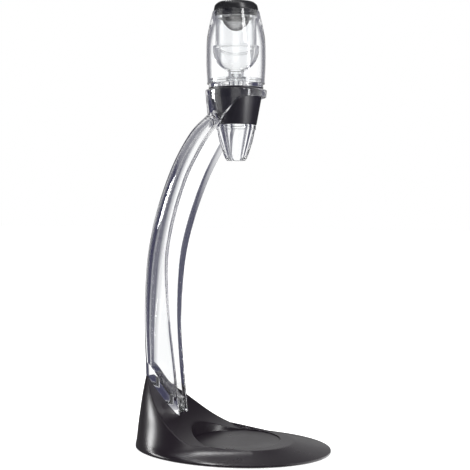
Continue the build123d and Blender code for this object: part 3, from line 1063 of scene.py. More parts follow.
@dataclass
class Pillar:
    """Clear curved pillar with an open channel, its foot and the collar on its upper end.

    A station is a cross-section: free edge y and z, back y and z, and half width.
    """

    base: Base
    wall: float = 5.0
    stations: tuple[tuple[float, float, float, float, float], ...] = (
        (50.8, 14.0, 86.5, 14.0, 12.2), (53.4, 44.0, 87.6, 44.0, 12.2), (57.0, 80.0, 88.8, 80.0, 12.6),
        (60.0, 115.0, 89.5, 116.0, 15.0), (60.6, 150.0, 88.2, 152.0, 19.0), (58.0, 186.0, 84.0, 190.0, 22.6),
        (49.5, 222.0, 73.5, 230.0, 25.6), (35.8, 259.0, 57.5, 270.0, 27.6), (20.6, 287.0, 39.5, 300.0, 27.6),
        (9.0, 303.5, 23.5, 315.0, 26.2), (2.0, 314.0, 13.5, 323.0, 24.6))
    cheek: float = 4.0
    floor: float = 12.0
    foot_forward: float = 1.0
    foot_last: int = 2
    edge_walls: tuple[Point2, Point2] = ((4.0, 110.0), (0.8, 185.0))
    steps: int = 11
    foot_steps: int = 23
    back_points: int = 30
    cheek_points: int = 4
    edge_points: int = 8
    ramp_points: int = 60
    axis_y: float = -4.0
    bore: tuple[Point2, Point2] = ((18.73, 301.0), (26.56, 343.0))
    ring: tuple[Point2, Point2] = ((25.6, 304.0), (29.0, 339.0))
    bore_floor: float = 291.0
    ease: float = 0.03
    around: int = 240
    screw_spots: Point2 = (60.5, 75.0)
    screw_radius: float = 1.95
    screw_depth: float = 8.5
    screw_tip: float = 0.3
    screw_around: int = 32
    lip: float = 1.5
    front_cut: tuple[Point2, ...] = (
        (-36.0, 332.5), (-17.0, 330.5), (-8.0, 322.0), (1.0, 313.0), (6.5, 303.0))
    cut_reach: float = 60.0
    cut_below: float = 20.0
    sharp_degrees: float = 38.0

    def outline(self, station: Sequence[float], inset: float, forward: float = 0.0,
                edge: float | None = None) -> list[Vector]:
        """Points of one cross-section from the left free edge round the back to the right one.

        Args:
            station: The cross-section.
            inset: 0 for the outside, the wall for the inside.
            forward: Reach past the line between the free edges.
            edge: Inset at the free edges, where it differs because they are bevelled.

        Returns:
            Points in the frame.
        """
        front_y, front_z, back_y, back_z, half = station
        across = Vector((0, back_y - front_y, back_z - front_z))
        depth = across.length
        down = across / depth
        rise = min(half, depth - self.cheek)
        start = depth - rise
        width, bulge = half - inset, rise - inset
        corner, low, first = -width, 0.0, 1
        if edge is not None:
            corner, low, first = edge - half, inset - edge - forward, 0
        side = [(corner, -forward)]
        for j in range(first, first + self.cheek_points - 1):
            side.append((-width, low + (start - low) * j / self.cheek_points))
        spots = list(side)
        for k in range(self.back_points + 1):
            angle = math.pi * (1 - k / self.back_points)
            spots.append((width * math.cos(angle), start + bulge * math.sin(angle)))
        spots += [(-x, y) for x, y in reversed(side)]
        origin = Vector((0, front_y, front_z))
        return [origin + Vector((x, 0, 0)) + down * y for x, y in spots]

    def edge_inset(self, z: float) -> float:
        """Wall left at the free edges, whose inner corners are bevelled more towards the top."""
        (thick, _), (thin, _) = self.edge_walls
        return max(thin, min(thick, at_height(self.edge_walls, z)))

    def edge_round(self, start: Vector, end: Vector, station: Sequence[float]) -> list[Vector]:
        """Half circle over a free edge.

        Args:
            start: End of one side of the wall.
            end: End of its other side.
            station: The cross-section.

        Returns:
            Points between the two.
        """
        front = Vector((0, station[0] - station[2], station[1] - station[3])).normalized()
        middle, arm = (start + end) / 2, (start - end) / 2
        points = []
        for j in range(1, self.edge_points):
            angle = math.pi * j / self.edge_points
            points.append(middle + arm * math.cos(angle) + front * arm.length * math.sin(angle))
        return points

    def channel(self, station: Sequence[float]) -> list[Vector]:
        """Cross-section of the open channel's wall.

        Args:
            station: The cross-section.

        Returns:
            Points round the wall.
        """
        edge = self.edge_inset(station[1])
        forward = (self.wall - edge) / 2
        outside = self.outline(station, 0.0, forward)
        inside = self.outline(station, self.wall, forward, edge)
        return (outside + self.edge_round(outside[-1], inside[-1], station) + inside[::-1]
                + self.edge_round(inside[0], outside[0], station))

    def ramp_tool(self, name: str, lift: float) -> Piece:
        """Everything under the base's ramp.

        Args:
            name: Name of the tool.
            lift: How far above the ramp it reaches.

        Returns:
            The tool as a closed mesh.
        """
        reach = self.base.length
        line = [(-reach, self.base.platform_height + lift)]
        for j in range(self.ramp_points + 1):
            y = self.base.ramp_start + (self.base.ramp_end - self.base.ramp_start) * j / self.ramp_points
            line.append((y, self.base.top_height(y) + lift))
        line += [(reach, self.base.ramp_top + lift), (reach, -reach), (-reach, -reach)]
        return side_prism(name, line, self.base.width)

    def collar(self) -> Piece:
        """Ring round the grip band, cut away in front.

        Returns:
            The ring as a closed mesh.
        """
        (low_radius, low), (top_radius, top) = self.ring
        outline = [Corner(at_height(self.bore, low), low), Corner(low_radius, low),
                   Corner(top_radius, top, self.lip), Corner(at_height(self.bore, top), top, self.lip)]
        ring = turned_piece("collar_ring", rounded(outline, steps=8), self.axis_y, self.around)
        cut = [(y, z) for y, z in smooth_run(self.front_cut, steps=16)]
        cut += [(self.front_cut[-1][0], low - self.cut_below), (self.front_cut[0][0], low - self.cut_below)]
        return combine(ring, side_prism("front_cut", cut, self.cut_reach), Cut.TAKE_AWAY)

    def holes(self) -> Iterator[Piece]:
        """Tools for the aerator's bore, the ramp that the pillar stands on and its screws.

        Returns:
            Closed meshes, each made when it is needed.
        """
        (r0, z0), (r1, z1) = self.bore
        line = [(r0 + self.ease, self.bore_floor), (r0 + self.ease, z0), (r1 + self.ease, z1)]
        yield turned_piece("bore", line, self.axis_y, self.around, plug=True)
        yield self.ramp_tool("ramp", FIT_GAP)
        for y in self.screw_spots:
            top = self.base.top_height(y) + self.screw_depth
            radius = self.screw_radius
            line = [(radius, 0.0), (radius, top - radius), (self.screw_tip, top)]
            yield turned_piece("screw_hole", line, y, self.screw_around, plug=True)

    def build(self) -> Piece:
        """Pillar, foot and collar as one moulding.

        Returns:
            The moulding.
        """
        part = lofted_piece("pillar_moulding", [self.channel(s) for s in even_run(self.stations, self.steps)])
        low_part = even_run(self.stations, self.foot_steps)[:self.foot_last * self.foot_steps + 1]
        rings = [self.outline(s, self.wall / 2, self.foot_forward) for s in low_part]
        foot = lofted_piece("pillar_foot", rings)
        combine(foot, self.ramp_tool("floor", self.floor), Cut.KEEP_COMMON)
        combine(part, foot, Cut.JOIN)
        combine(part, self.collar(), Cut.JOIN)
        for hole in self.holes():
            combine(part, hole, Cut.TAKE_AWAY)
        return settle(part, self.sharp_degrees)

    def dress(self, wardrobe: Wardrobe) -> None:
        """Builds the pillar and gives it its finish."""
        wardrobe.dress(self.build(), Slot.CLEAR_ACRYLIC, Body.STAND, "pillar")


# The aerator


@dataclass
class Aerator:
    """Spout, lower body with its grip band, and outer shell, on one vertical axis.

    Heights count from the spout's tip.
    """

    tip_z: float = 273.0
    axis_y: float = -4.0
    cone: float = 29.0
    flange_top: float = 33.4
    flange_radius: float = 18.7
    cone_line: tuple[Point2, ...] = ((17.9, 29.0), (15.6, 17.98), (13.2, 10.44), (10.0, 2.03), (8.4, 0.0))
    outlet_radius: float = 6.2
    outlet_length: float = 6.0
    spigot_radius: float = 14.35
    spigot_wall: float = 1.9
    spigot_length: float = 4.0
    grip: tuple[Point2, Point2] = ((19.3, 33.5), (25.7, 68.0))
    grip_wall: float = 2.5
    body_wall: float = 2.4
    seat_room: float = 1.8
    neck_radius: float = 25.6
    neck_height: float = 3.5
    neck_lip: float = 4.5
    shell_bore: float = 24.6
    shell_low: float = 71.55
    shell_foot: float = 27.0
    shell_line: tuple[Point2, ...] = (
        (27.0, 75.35), (27.8, 93.83), (27.2, 113.4), (25.2, 124.88), (21.8, 139.05))
    shell_bore_line: tuple[Point2, ...] = (
        (19.9, 131.05), (22.6, 122.85), (24.8, 112.05), (25.4, 93.83), (24.6, 71.55))
    hub_radius: float = 7.5
    hub_wall: float = 1.8
    hub_height: float = 5.0
    holes: int = 4
    hole_turn: float = 45.0
    hole_over: float = 1.0
    hole_around: int = 32
    vent_radius: float = 1.2
    vent_circle: float = 15.0
    slot_depths: Point2 = (1.3, 0.2)
    tube_gap: float = 4.65

    def place(self, name: str, outline: Sequence[Point2], around: int = 160) -> Piece:
        """Piece turned about the aerator's axis, with heights counted from the spout's tip."""
        return turned_piece(name, outline, self.axis_y, around, self.tip_z)

    def ring(self, name: str, radii: Point2, low: float, top: float, bend: float,
             around: int = 160) -> Piece:
        """Ring with rounded corners.

        Args:
            name: Name of the ring.
            radii: Its outer radius and its bore's.
            low: Height of its underside.
            top: Height of its upper side.
            bend: Rounding of its corners.
            around: Points round it.

        Returns:
            The ring as a closed mesh.
        """
        outer, bore = radii
        outline = corners((bore, low), (outer, low), (outer, top), (bore, top), bend=bend)
        return self.place(name, rounded(outline), around)

    def turns(self) -> list[float]:
        """Turns of the evenly spaced holes, in degrees."""
        return [self.hole_turn + 360.0 * k / self.holes for k in range(self.holes)]

    def rod(self, name: str, start: Sequence[float], along: Vector, radius: float, length: float,
            turn: float) -> Piece:
        """Round rod to cut a hole with.

        Args:
            name: Name of the rod.
            start: Middle of its first end, before the turn.
            along: Direction of its length.
            radius: Its radius.
            length: Its length.
            turn: Turn about the aerator's axis, in degrees.

        Returns:
            The rod as a closed mesh.
        """
        angle = math.radians(turn)
        side = Vector((0, 1, 0))
        other = along.cross(side)
        rings: list[list[tuple[float, float, float]]] = [[], []]
        for ring, end in zip(rings, (0.0, length)):
            for k in range(self.hole_around):
                bend = 2 * math.pi * k / self.hole_around
                spot = Vector(start) + along * end + (side * math.cos(bend) + other * math.sin(bend)) * radius
                ring.append((spot.x * math.cos(angle) - spot.y * math.sin(angle),
                             spot.x * math.sin(angle) + spot.y * math.cos(angle) + self.axis_y,
                             spot.z + self.tip_z))
        return lofted_piece(name, rings)

    def spout(self) -> Piece:
        """Clear cone with its flange and the spigot above it.

        Returns:
            The spout as a closed mesh.
        """
        line = smooth_run(self.cone_line, steps=10)
        outline = corners(*line[:-1])
        outline += [Corner(line[-1][0], 0.0, 0.5), Corner(self.outlet_radius, 0.0, 0.5),
                    Corner(self.outlet_radius, self.outlet_length, 0.6)]
        top = self.flange_top + self.spigot_length
        outline += corners((self.spigot_radius - self.spigot_wall, top), (self.spigot_radius, top), bend=0.3)
        outline += [Corner(self.spigot_radius, self.flange_top),
                    Corner(self.flange_radius, self.flange_top, 0.4),
                    Corner(self.flange_radius, self.cone, 0.5)]
        return self.place("spout_cone", rounded(outline))

    def body_at(self, z: float) -> float:
        """Outer radius of the lower body under the grip band."""
        return at_height(self.grip, z) - self.grip_wall

    def grip_band(self) -> Piece:
        """Soft sleeve with rounded ends.

        Returns:
            The sleeve as a closed mesh.
        """
        (r0, z0), (r1, z1) = self.grip
        outline = [Corner(r0, z0, 0.7), Corner(r1, z1, 1.0), Corner(self.body_at(z1) + FIT_GAP, z1, 0.3),
                   Corner(self.body_at(z0) + FIT_GAP, z0, 0.3)]
        return self.place("grip_sleeve", rounded(outline, steps=6), around=200)

    def lower_body(self) -> Piece:
        """Cone with the neck that carries the shell, its web and the funnel's hub.

        Returns:
            The lower body as a closed mesh.
        """
        low = self.flange_top + FIT_GAP
        web = self.grip[1][1]
        neck = web + self.neck_height
        lip = neck + self.neck_lip
        hub_top = neck + self.hub_height
        spigot = self.shell_bore - FIT_GAP
        seat = low + self.spigot_length + self.seat_room
        bore = self.body_at(self.grip[0][1]) - self.body_wall
        hub = self.hub_radius + self.hub_wall
        outline = [
            Corner(bore, low), Corner(self.body_at(low), low), Corner(self.body_at(web), web),
            Corner(self.neck_radius, web + FIT_GAP, 0.2), Corner(self.neck_radius, neck, 0.3),
            Corner(spigot, neck), Corner(spigot, lip, 0.3), Corner(spigot - self.body_wall, lip, 0.3),
            Corner(spigot - self.body_wall, neck, 0.8), Corner(hub, neck, 0.8), Corner(hub, hub_top, 0.3),
            Corner(self.hub_radius, hub_top, 0.3), Corner(self.hub_radius, neck),
            Corner(self.tube_gap, neck), Corner(self.tube_gap, web),
            Corner(self.body_at(web) - self.body_wall, web, 1.2),
            Corner(self.body_at(seat) - self.body_wall, seat), Corner(bore, seat)]
        piece = self.place("lower_cone", rounded(outline), around=192)
        over = self.hole_over
        for turn in self.turns():
            vent = self.rod("vent", (self.vent_circle, 0.0, web - over), Vector((0, 0, 1)), self.vent_radius,
                            self.neck_height + 2 * over, turn)
            combine(piece, vent, Cut.TAKE_AWAY)
            for depth in self.slot_depths:
                slot = self.rod("hub_slot", (self.hub_radius - over, 0.0, hub_top - depth), Vector((1, 0, 0)),
                                self.vent_radius, self.hub_wall + 2 * over, turn)
                combine(piece, slot, Cut.TAKE_AWAY)
        return piece

    def shell(self) -> Piece:
        """Bullet-shaped clear shell, thickened at its foot.

        Returns:
            The shell as a closed mesh.
        """
        outside = smooth_run(self.shell_line, steps=14)
        inside = smooth_run(self.shell_bore_line, steps=14)
        top = outside[-1][1]
        outline = [Corner(self.shell_foot, self.shell_low, 0.5)]
        outline += corners(*outside[:-1])
        outline += [Corner(outside[-1][0], top, 0.5), Corner(inside[0][0], top, 0.4)]
        outline += corners(*inside)
        return self.place("shell_dome", rounded(outline), around=224)

    def dress(self, wardrobe: Wardrobe) -> None:
        """Builds the four pieces and gives them their finishes.

        Args:
            wardrobe: The finishes.
        """
        body = Body.AERATOR
        wardrobe.dress(self.spout(), Slot.CLEAR_ACRYLIC, body, "spout")
        wardrobe.dress(self.lower_body(), Slot.CLEAR_ACRYLIC, body, "lower_body")
        wardrobe.dress(self.grip_band(), Slot.BLACK_SILICONE, body, "grip_band")
        wardrobe.dress(self.shell(), Slot.CLEAR_ACRYLIC, body, "outer_shell", thin=True)


@dataclass
class FunnelStack:
    """Mixing tube, nozzle, funnel bowl and inner sleeve inside the shell."""

    aerator: Aerator
    low: float = 71.55
    seal: float = 0.9
    seal_bend: float = 0.3
    shell_seal: Point2 = (24.55, 23.6)
    shell_seal_ends: Point2 = (73.275, 74.275)
    shell_seal_bend: float = 0.4
    tube: Point2 = (4.6, 3.4)
    tube_length: float = 33.0
    flange: Point2 = (7.4, 1.2)
    nozzle_height: float = 3.2
    stub: float = 4.0
    stub_wall: float = 0.8
    nozzle_bore: float = 2.6
    nozzle_lip: float = 0.5
    air_hole_radius: float = 0.7
    bowl_radius: float = 21.6
    bowl_wall: float = 1.8
    bowl_steps: int = 24
    throat: Point2 = (5.6, 8.0)
    rim: float = 2.6
    sleeve: Point2 = (19.3, 17.5)
    sleeve_top: float = 133.15

    def levels(self) -> tuple[float, float, float, float]:
        """Heights that the pieces share.

        Returns:
            The tube's flange top, the nozzle's low and top faces, and the bowl's middle.
        """
        flange_top = self.low + self.seal + FIT_GAP + self.flange[1]
        nozzle_low = flange_top + FIT_GAP
        nozzle_top = nozzle_low + self.nozzle_height
        inner = self.bowl_radius - self.bowl_wall
        centre = nozzle_top + FIT_GAP + self.throat[1] + math.sqrt(inner ** 2 - self.throat[0] ** 2)
        return flange_top, nozzle_low, nozzle_top, centre

    def mixing_tube(self) -> Piece:
        """Narrow tube hung from its flange.

        Returns:
            The tube as a closed mesh.
        """
        top = self.levels()[0]
        low, under = top - self.tube_length, top - self.flange[1]
        radius, bore = self.tube
        outline = corners((bore, top), (bore, low), (radius, low), bend=0.3) + [Corner(radius, under)]
        outline += corners((self.flange[0], under), (self.flange[0], top), bend=0.2)
        return self.aerator.place("mixing_pipe", rounded(outline), around=96)

    def nozzle(self) -> Piece:
        """Jet that plugs into the funnel's throat, with its air holes.

        Returns:
            The jet as a closed mesh.
        """
        _, low, top, _ = self.levels()
        radius, bore = self.flange[0], self.nozzle_bore
        stub, stub_top = self.throat[0] - FIT_GAP, top + self.stub
        outline = [Corner(bore, low, 0.3), Corner(radius, low, 0.2), Corner(radius, top, 0.2),
                   Corner(stub, top), Corner(stub, stub_top, 0.2),
                   Corner(stub - self.stub_wall, stub_top, 0.2), Corner(bore, top + self.nozzle_lip)]
        piece = self.aerator.place("jet", rounded(outline), around=96)
        over = self.aerator.hole_over
        for turn in self.aerator.turns():
            hole = self.aerator.rod("air_hole", (bore - over, 0.0, (low + top) / 2), Vector((1, 0, 0)),
                                    self.air_hole_radius, radius - bore + 2 * over, turn)
            combine(piece, hole, Cut.TAKE_AWAY)
        return piece

    def bowl(self) -> Piece:
        """Round bowl that runs down into its throat.

        Returns:
            The bowl as a closed mesh.
        """
        _, _, nozzle_top, centre = self.levels()
        low = nozzle_top + FIT_GAP
        throat, outer, inner = self.throat[0], self.bowl_radius, self.bowl_radius - self.bowl_wall
        rim, seat, bore = centre + self.rim, self.sleeve[0] + FIT_GAP, self.sleeve[1]
        outline = [Corner(throat, low, 0.2), Corner(self.flange[0], low, 0.2)]
        start, end, steps = math.asin(self.flange[0] / outer), math.asin(throat / inner), self.bowl_steps
        for j in range(steps + 1):
            angle = start + (math.pi / 2 - start) * j / steps
            outline.append(Corner(outer * math.sin(angle), centre - outer * math.cos(angle),
                                  1.5 if j == 0 else 0.0))
        outline += [Corner(outer, rim, 0.5), Corner(seat, rim, 0.4), Corner(seat, centre),
                    Corner(bore, centre, 0.2)]
        for j in range(1, steps + 1):
            angle = math.pi / 2 + (end - math.pi / 2) * j / steps
            tuck = (inner - bore) * math.sin(angle) ** 6
            outline.append(Corner(inner * math.sin(angle) - tuck, centre - inner * math.cos(angle),
                                  1.0 if j == steps else 0.0))
        return self.aerator.place("bowl", rounded(outline), around=192)

    def dress(self, wardrobe: Wardrobe) -> None:
        """Builds the inner pieces and the seals and gives them their finishes.

        Args:
            wardrobe: The finishes.
        """
        centre = self.levels()[3]
        aerator, seal = self.aerator, self.seal
        sleeve_low = centre + seal + 2 * FIT_GAP
        spigot_top = aerator.flange_top + aerator.spigot_length + FIT_GAP
        clear, body = Slot.CLEAR_ACRYLIC, Body.AERATOR
        wardrobe.dress(self.mixing_tube(), clear, body, "mixing_tube")
        wardrobe.dress(self.nozzle(), clear, body, "nozzle")
        wardrobe.dress(self.bowl(), clear, body, "funnel_bowl", thin=True)
        sleeve = aerator.ring("sleeve_tube", self.sleeve, sleeve_low, self.sleeve_top, 0.35, around=192)
        wardrobe.dress(sleeve, clear, body, "inner_sleeve", thin=True)
        spigot = (aerator.spigot_radius, aerator.spigot_radius - aerator.spigot_wall)
        for name, node, radii, low, top, bend in (
                ("sleeve_ring", "sleeve_seal", self.sleeve, centre + FIT_GAP, centre + FIT_GAP + seal,
                 self.seal_bend),
                ("funnel_ring", "funnel_seal", (self.flange[0], aerator.tube_gap), self.low, self.low + seal,
                 self.seal_bend),
                ("shell_ring", "shell_seal", self.shell_seal, *self.shell_seal_ends, self.shell_seal_bend),
                ("spout_ring", "spout_seal", spigot, spigot_top, spigot_top + seal, self.seal_bend)):
            ring = aerator.ring(name, radii, low, top, bend)
            wardrobe.dress(ring, Slot.CLEAR_SILICONE, body, node)


@dataclass
class StrainerCap:
    """Black mouth ring with its seal, clip ring and wire strainer."""

    aerator: Aerator
    shell_top: float = 139.05
    skirt: Point2 = (19.6, 5.6)
    radius: float = 20.9
    height: float = 8.0
    side: Point2 = (20.7, 0.3)
    dome: Point2 = (19.7, 2.3)
    top_radius: float = 17.2
    rim_radius: float = 15.6
    mouth: Point2 = (14.5, 1.0)
    bore: float = 13.4
    mouth_end: float = 4.0
    recess: Point2 = (17.0, 2.1)
    groove: Point2 = (-0.5, 0.55)
    groove_depth: float = 1.0
    gasket: Point2 = (19.85, 18.65)
    gasket_ends: Point2 = (-0.475, 0.525)
    clip_bore: float = 14.3
    clip_height: float = 1.2
    mesh_thickness: float = 0.6
    flange: float = 3.2
    flange_height: float = 1.6
    wire: float = 0.26
    pitch: float = 0.85
    wire_end: float = 0.05

    def low(self) -> float:
        """Height of the skirt's underside."""
        return self.shell_top - self.skirt[1]

    def middle(self) -> float:
        """Height of the middle of the skirt's groove."""
        return self.shell_top - self.skirt[1] / 2

    def cap(self) -> Piece:
        """Mouth ring with a groove in its skirt.

        Returns:
            The ring as a closed mesh.
        """
        low = self.low()
        dome = self.shell_top + FIT_GAP
        top = dome + self.height
        recess = low + self.recess[1]
        groove_low, groove_top = (self.middle() + edge for edge in self.groove)
        side = (self.side[0], dome + self.height * self.side[1])
        outside = smooth_run((side, (self.dome[0], top - self.dome[1]), (self.top_radius, top)), 10)
        mouth = smooth_run(((self.rim_radius, top), (self.mouth[0], top - self.mouth[1]),
                            (self.bore, top - self.mouth_end)), 8)
        skirt, inner = self.skirt[0], self.skirt[0] - self.groove_depth
        outline = [Corner(self.recess[0], low, 0.2), Corner(skirt, low, 0.4), Corner(skirt, groove_low, 0.1),
                   Corner(inner, groove_low), Corner(inner, groove_top), Corner(skirt, groove_top, 0.1),
                   Corner(skirt, dome), Corner(self.radius, dome, 0.4)]
        outline += corners(*outside + mouth)
        outline += [Corner(self.bore, recess, 0.2), Corner(self.recess[0], recess)]
        return self.aerator.place("cap_mouth", rounded(outline), around=224)

    def bowl_radius(self) -> float:
        """Radius of the round bowl that the wires follow."""
        return self.bore - FIT_GAP - self.mesh_thickness / 2

    def crossing(self, i: int, j: int) -> tuple[float, float, float]:
        """Crossing of two wires, laid over the round bowl.

        Args:
            i: Number of the first wire, counted from the middle.
            j: Number of the second wire, counted from the middle.

        Returns:
            Its place in the frame.
        """
        top = self.low() + self.recess[1] - FIT_GAP - self.mesh_thickness
        radius = self.bowl_radius()
        u, v = i * self.pitch, j * self.pitch
        arc = min(math.hypot(u, v), radius * math.pi / 2)
        turn = math.atan2(v, u)
        out = radius * math.sin(arc / radius)
        return (out * math.cos(turn), self.aerator.axis_y + out * math.sin(turn),
                self.aerator.tip_z + top - radius * math.cos(arc / radius))

    def wires(self) -> Piece:
        """Pressed wire mesh: a square grid laid over a round bowl, turned into wires.

        Returns:
            The wires as a closed mesh.
        """
        reach = self.bowl_radius() * math.pi / 2
        half = int(reach / self.pitch) + 1
        numbers: dict[tuple[int, int], int] = {}
        faces = []
        for i in range(-half, half):
            for j in range(-half, half):
                spots = ((i, j), (i + 1, j), (i + 1, j + 1), (i, j + 1))
                if min(math.hypot(a * self.pitch, b * self.pitch) for a, b in spots) < reach - self.wire_end:
                    faces.append([numbers.setdefault(spot, len(numbers)) for spot in spots])
        piece = solid_piece("wire_bowl", [self.crossing(i, j) for i, j in numbers], faces, 180.0)
        step = piece.modifiers.new("wires", "WIREFRAME")
        step.thickness = self.wire * MM
        step.use_even_offset = False
        step.use_boundary = True
        settle(piece, 60.0)
        with edited(piece.data) as work:
            bmesh.ops.recalc_face_normals(work, faces=work.faces)
        return piece

    def flange_ring(self) -> Piece:
        """Pressed edge of the strainer that the clip ring holds.

        Returns:
            The edge as a closed mesh.
        """
        top = self.low() + self.recess[1] - FIT_GAP
        under, low = top - self.mesh_thickness, top - self.flange_height
        radius = self.bore - FIT_GAP
        outer, inner = radius + self.flange, radius - self.mesh_thickness
        outline = corners((inner, top), (outer, top), (outer, under), (radius, under), (radius, low),
                          (inner, low), bend=0.2)
        return self.aerator.place("strainer_edge", rounded(outline))

    def dress(self, wardrobe: Wardrobe) -> None:
        """Builds the cap's pieces and gives them their finishes.

        Args:
            wardrobe: The finishes.
        """
        body, low = Body.STRAINER, self.low()
        wardrobe.dress(self.cap(), Slot.BLACK_GLOSS, body, "cap_ring")
        wardrobe.dress(self.wires(), Slot.MESH_STEEL, body, "strainer_bowl")
        wardrobe.dress(self.flange_ring(), Slot.MESH_STEEL, body, "strainer_bowl")
        radii = (self.recess[0] - FIT_GAP, self.clip_bore)
        clip = self.aerator.ring("clip", radii, low, low + self.clip_height, 0.3)
        wardrobe.dress(clip, Slot.BLACK_GLOSS, body, "strainer_retainer")
        seal_low, seal_top = (self.middle() + end for end in self.gasket_ends)
        seal = self.aerator.ring("cap_gasket", self.gasket, seal_low, seal_top, 0.4)
        wardrobe.dress(seal, Slot.BLACK_SILICONE, body, "cap_seal")


# The studio


@dataclass(frozen=True)
class Softbox:
    """Rectangular lamp, placed by its azimuth and elevation in degrees."""

    name: str
    azimuth: float
    elevation: float
    size: Point2
    watts: float


@dataclass
class Studio:
    """White room, soft lamps and the camera at the photograph's angle."""

    azimuth: float = -70.0
    distance: float = 989.0
    height: float = 241.0
    pitch: float = 2.19
    focal_pixels: float = 1050.0
    frame_pixels: float = 470.0
    side_pixels: float = 1.0
    sensor: float = 36.0
    target_y: float = -4.0
    ambient: float = 0.6
    ceiling: Point2 = (0.38, 0.65)
    ceiling_level: float = 0.12
    ceiling_seen: float = 0.6
    mirror_level: float = 0.5
    side_level: float = 0.06
    backdrop_azimuth: float = 110.0
    backdrop_half: float = 18.0
    backdrop_fade: float = 14.0
    floor_size: float = 6.0
    floor_colour: Colour = (0.86, 0.86, 0.86)
    floor_glow: float = 0.62
    floor_mirror: float = 0.12
    glow_azimuth: float = -9.0
    glow_half: float = 6.0
    glow_fade: float = 22.0
    glow_level: float = 2.8
    wall_radius: float = 360.0
    wall_height: float = 700.0
    wall_parts: int = 144
    wall_fade: Point2 = (340.0, 370.0)
    wall_high: float = 0.2
    wall_level: float = 1.15
    flags: tuple[Point2, ...] = ((73.0, 13.0), (155.0, 21.0), (245.0, 21.0), (335.0, 21.0))
    flag_tint: Colour = (0.045, 0.045, 0.085)
    flag_fade: float = 9.0
    flag_level: float = 0.01
    bounces: int = 32
    lamp_distance: float = 1.3
    lamp_middle: float = 0.15
    lamps: tuple[Softbox, ...] = (
        Softbox("right_strip", -20.0, 2.0, (0.18, 0.9), 8.0),
        Softbox("high_strip", -34.0, 38.0, (0.22, 0.75), 8.0),
        Softbox("left_strip", -163.0, 10.0, (0.42, 0.24), 8.5),
        Softbox("rear_left_strip", 123.0, 55.0, (0.07, 0.24), 3.4),
        Softbox("top_box", -70.0, 75.0, (0.8, 0.8), 4.5))

    def camera(self) -> None:
        """Puts the camera where the photograph was taken."""
        data = bpy.data.cameras.new("camera")
        data.sensor_width = self.sensor
        data.lens = self.focal_pixels / self.frame_pixels * data.sensor_width
        data.shift_x = -self.side_pixels / self.frame_pixels
        data.clip_start, data.clip_end = 0.05, 50.0
        camera = link_piece("camera", data)
        a, p = math.radians(self.azimuth), math.radians(self.pitch)
        camera.location = (math.sin(a) * self.distance * MM,
                           (self.target_y - math.cos(a) * self.distance) * MM, self.height * MM)
        look = Vector((-math.sin(a) * math.cos(p), math.cos(a) * math.cos(p), -math.sin(p)))
        camera.rotation_euler = look.to_track_quat("-Z", "Y").to_euler()
        bpy.context.scene.camera = camera

    @staticmethod
    def bearing(w: Wiring, split: Node, azimuth: float) -> Socket:
        """Angle of a direction from an azimuth, to either side."""
        around = w.maths("ARCTAN2", split.outputs["X"], w.maths("MULTIPLY", split.outputs["Y"], -1.0))
        return w.maths("PINGPONG", w.maths("SUBTRACT", around, math.radians(azimuth)), math.pi)

    def sector(self, w: Wiring, split: Node, place: tuple[float, float, float],
               levels: Point2) -> Socket:
        """One level towards an azimuth and another elsewhere.

        Args:
            w: Wiring of the tree.
            split: Node whose X and Y are a direction.
            place: The azimuth, how far its level reaches to either side and how far it fades, in degrees.
            levels: The level there and the level elsewhere.

        Returns:
            The level in that direction.
        """
        azimuth, half, fade = place
        start, end = math.radians(half), math.radians(half + fade)
        return w.span(self.bearing(w, split, azimuth), start, end, levels)

    def panels(self, w: Wiring, split: Node) -> Socket:
        """White panels with dark flags between them.

        Args:
            w: Wiring of the tree.
            split: Node whose X and Y are a direction.

        Returns:
            Brightness in that direction.
        """
        share: Term = 1.0
        for azimuth, half in self.flags:
            flag = self.sector(w, split, (azimuth, half, self.flag_fade), (self.flag_level, 1.0))
            share = w.maths("MINIMUM", flag, share)
        return share

    def flagged(self, w: Wiring, share: Socket) -> Socket:
        """Colour of the wall for a share of white."""
        return w.blend(share, self.flag_tint, (1.0, 1.0, 1.0))

    def room(self) -> None:
        """White surroundings for what is seen, reflected or seen through, and a plain ambient light.

        Reflections see the room pale behind the object and dim to the other sides.
        """
        world = bpy.data.worlds.new("room")
        bpy.context.scene.world = world
        world.use_nodes = True
        w = Wiring(world.node_tree)
        plain = next(n for n in w.tree.nodes if n.type == "BACKGROUND")
        white = w.node("ShaderNodeBackground")
        for shader in (plain, white):
            shader.inputs["Color"].default_value = (1, 1, 1, 1)
        plain.inputs["Strength"].default_value = self.ambient
        split = w.axes(w.coords("Generated"))
        path = w.node("ShaderNodeLightPath").outputs
        ceiling = w.span(split.outputs["Z"], *self.ceiling, (1.0, self.ceiling_level))
        through = w.maths("MULTIPLY", path["Is Transmission Ray"], self.ceiling_seen)
        around = w.maths("MULTIPLY", w.maths("MAXIMUM", ceiling, through), self.panels(w, split))
        backdrop = self.sector(w, split, (self.backdrop_azimuth, self.backdrop_half, self.backdrop_fade),
                               (self.mirror_level, self.side_level))
        clear = w.maths("SUBTRACT", 1.0, path["Is Transmission Ray"])
        mirror = w.maths("MULTIPLY", path["Is Glossy Ray"], clear)
        dimmed = w.maths("MULTIPLY", w.maths("SUBTRACT", 1.0, backdrop), mirror)
        around = w.maths("MULTIPLY", around, w.maths("SUBTRACT", 1.0, dimmed))
        w.join(w.maths("MAXIMUM", around, path["Is Camera Ray"]), white.inputs["Strength"])
        w.surface(w.mix(self.seen_rays(w), plain, white))

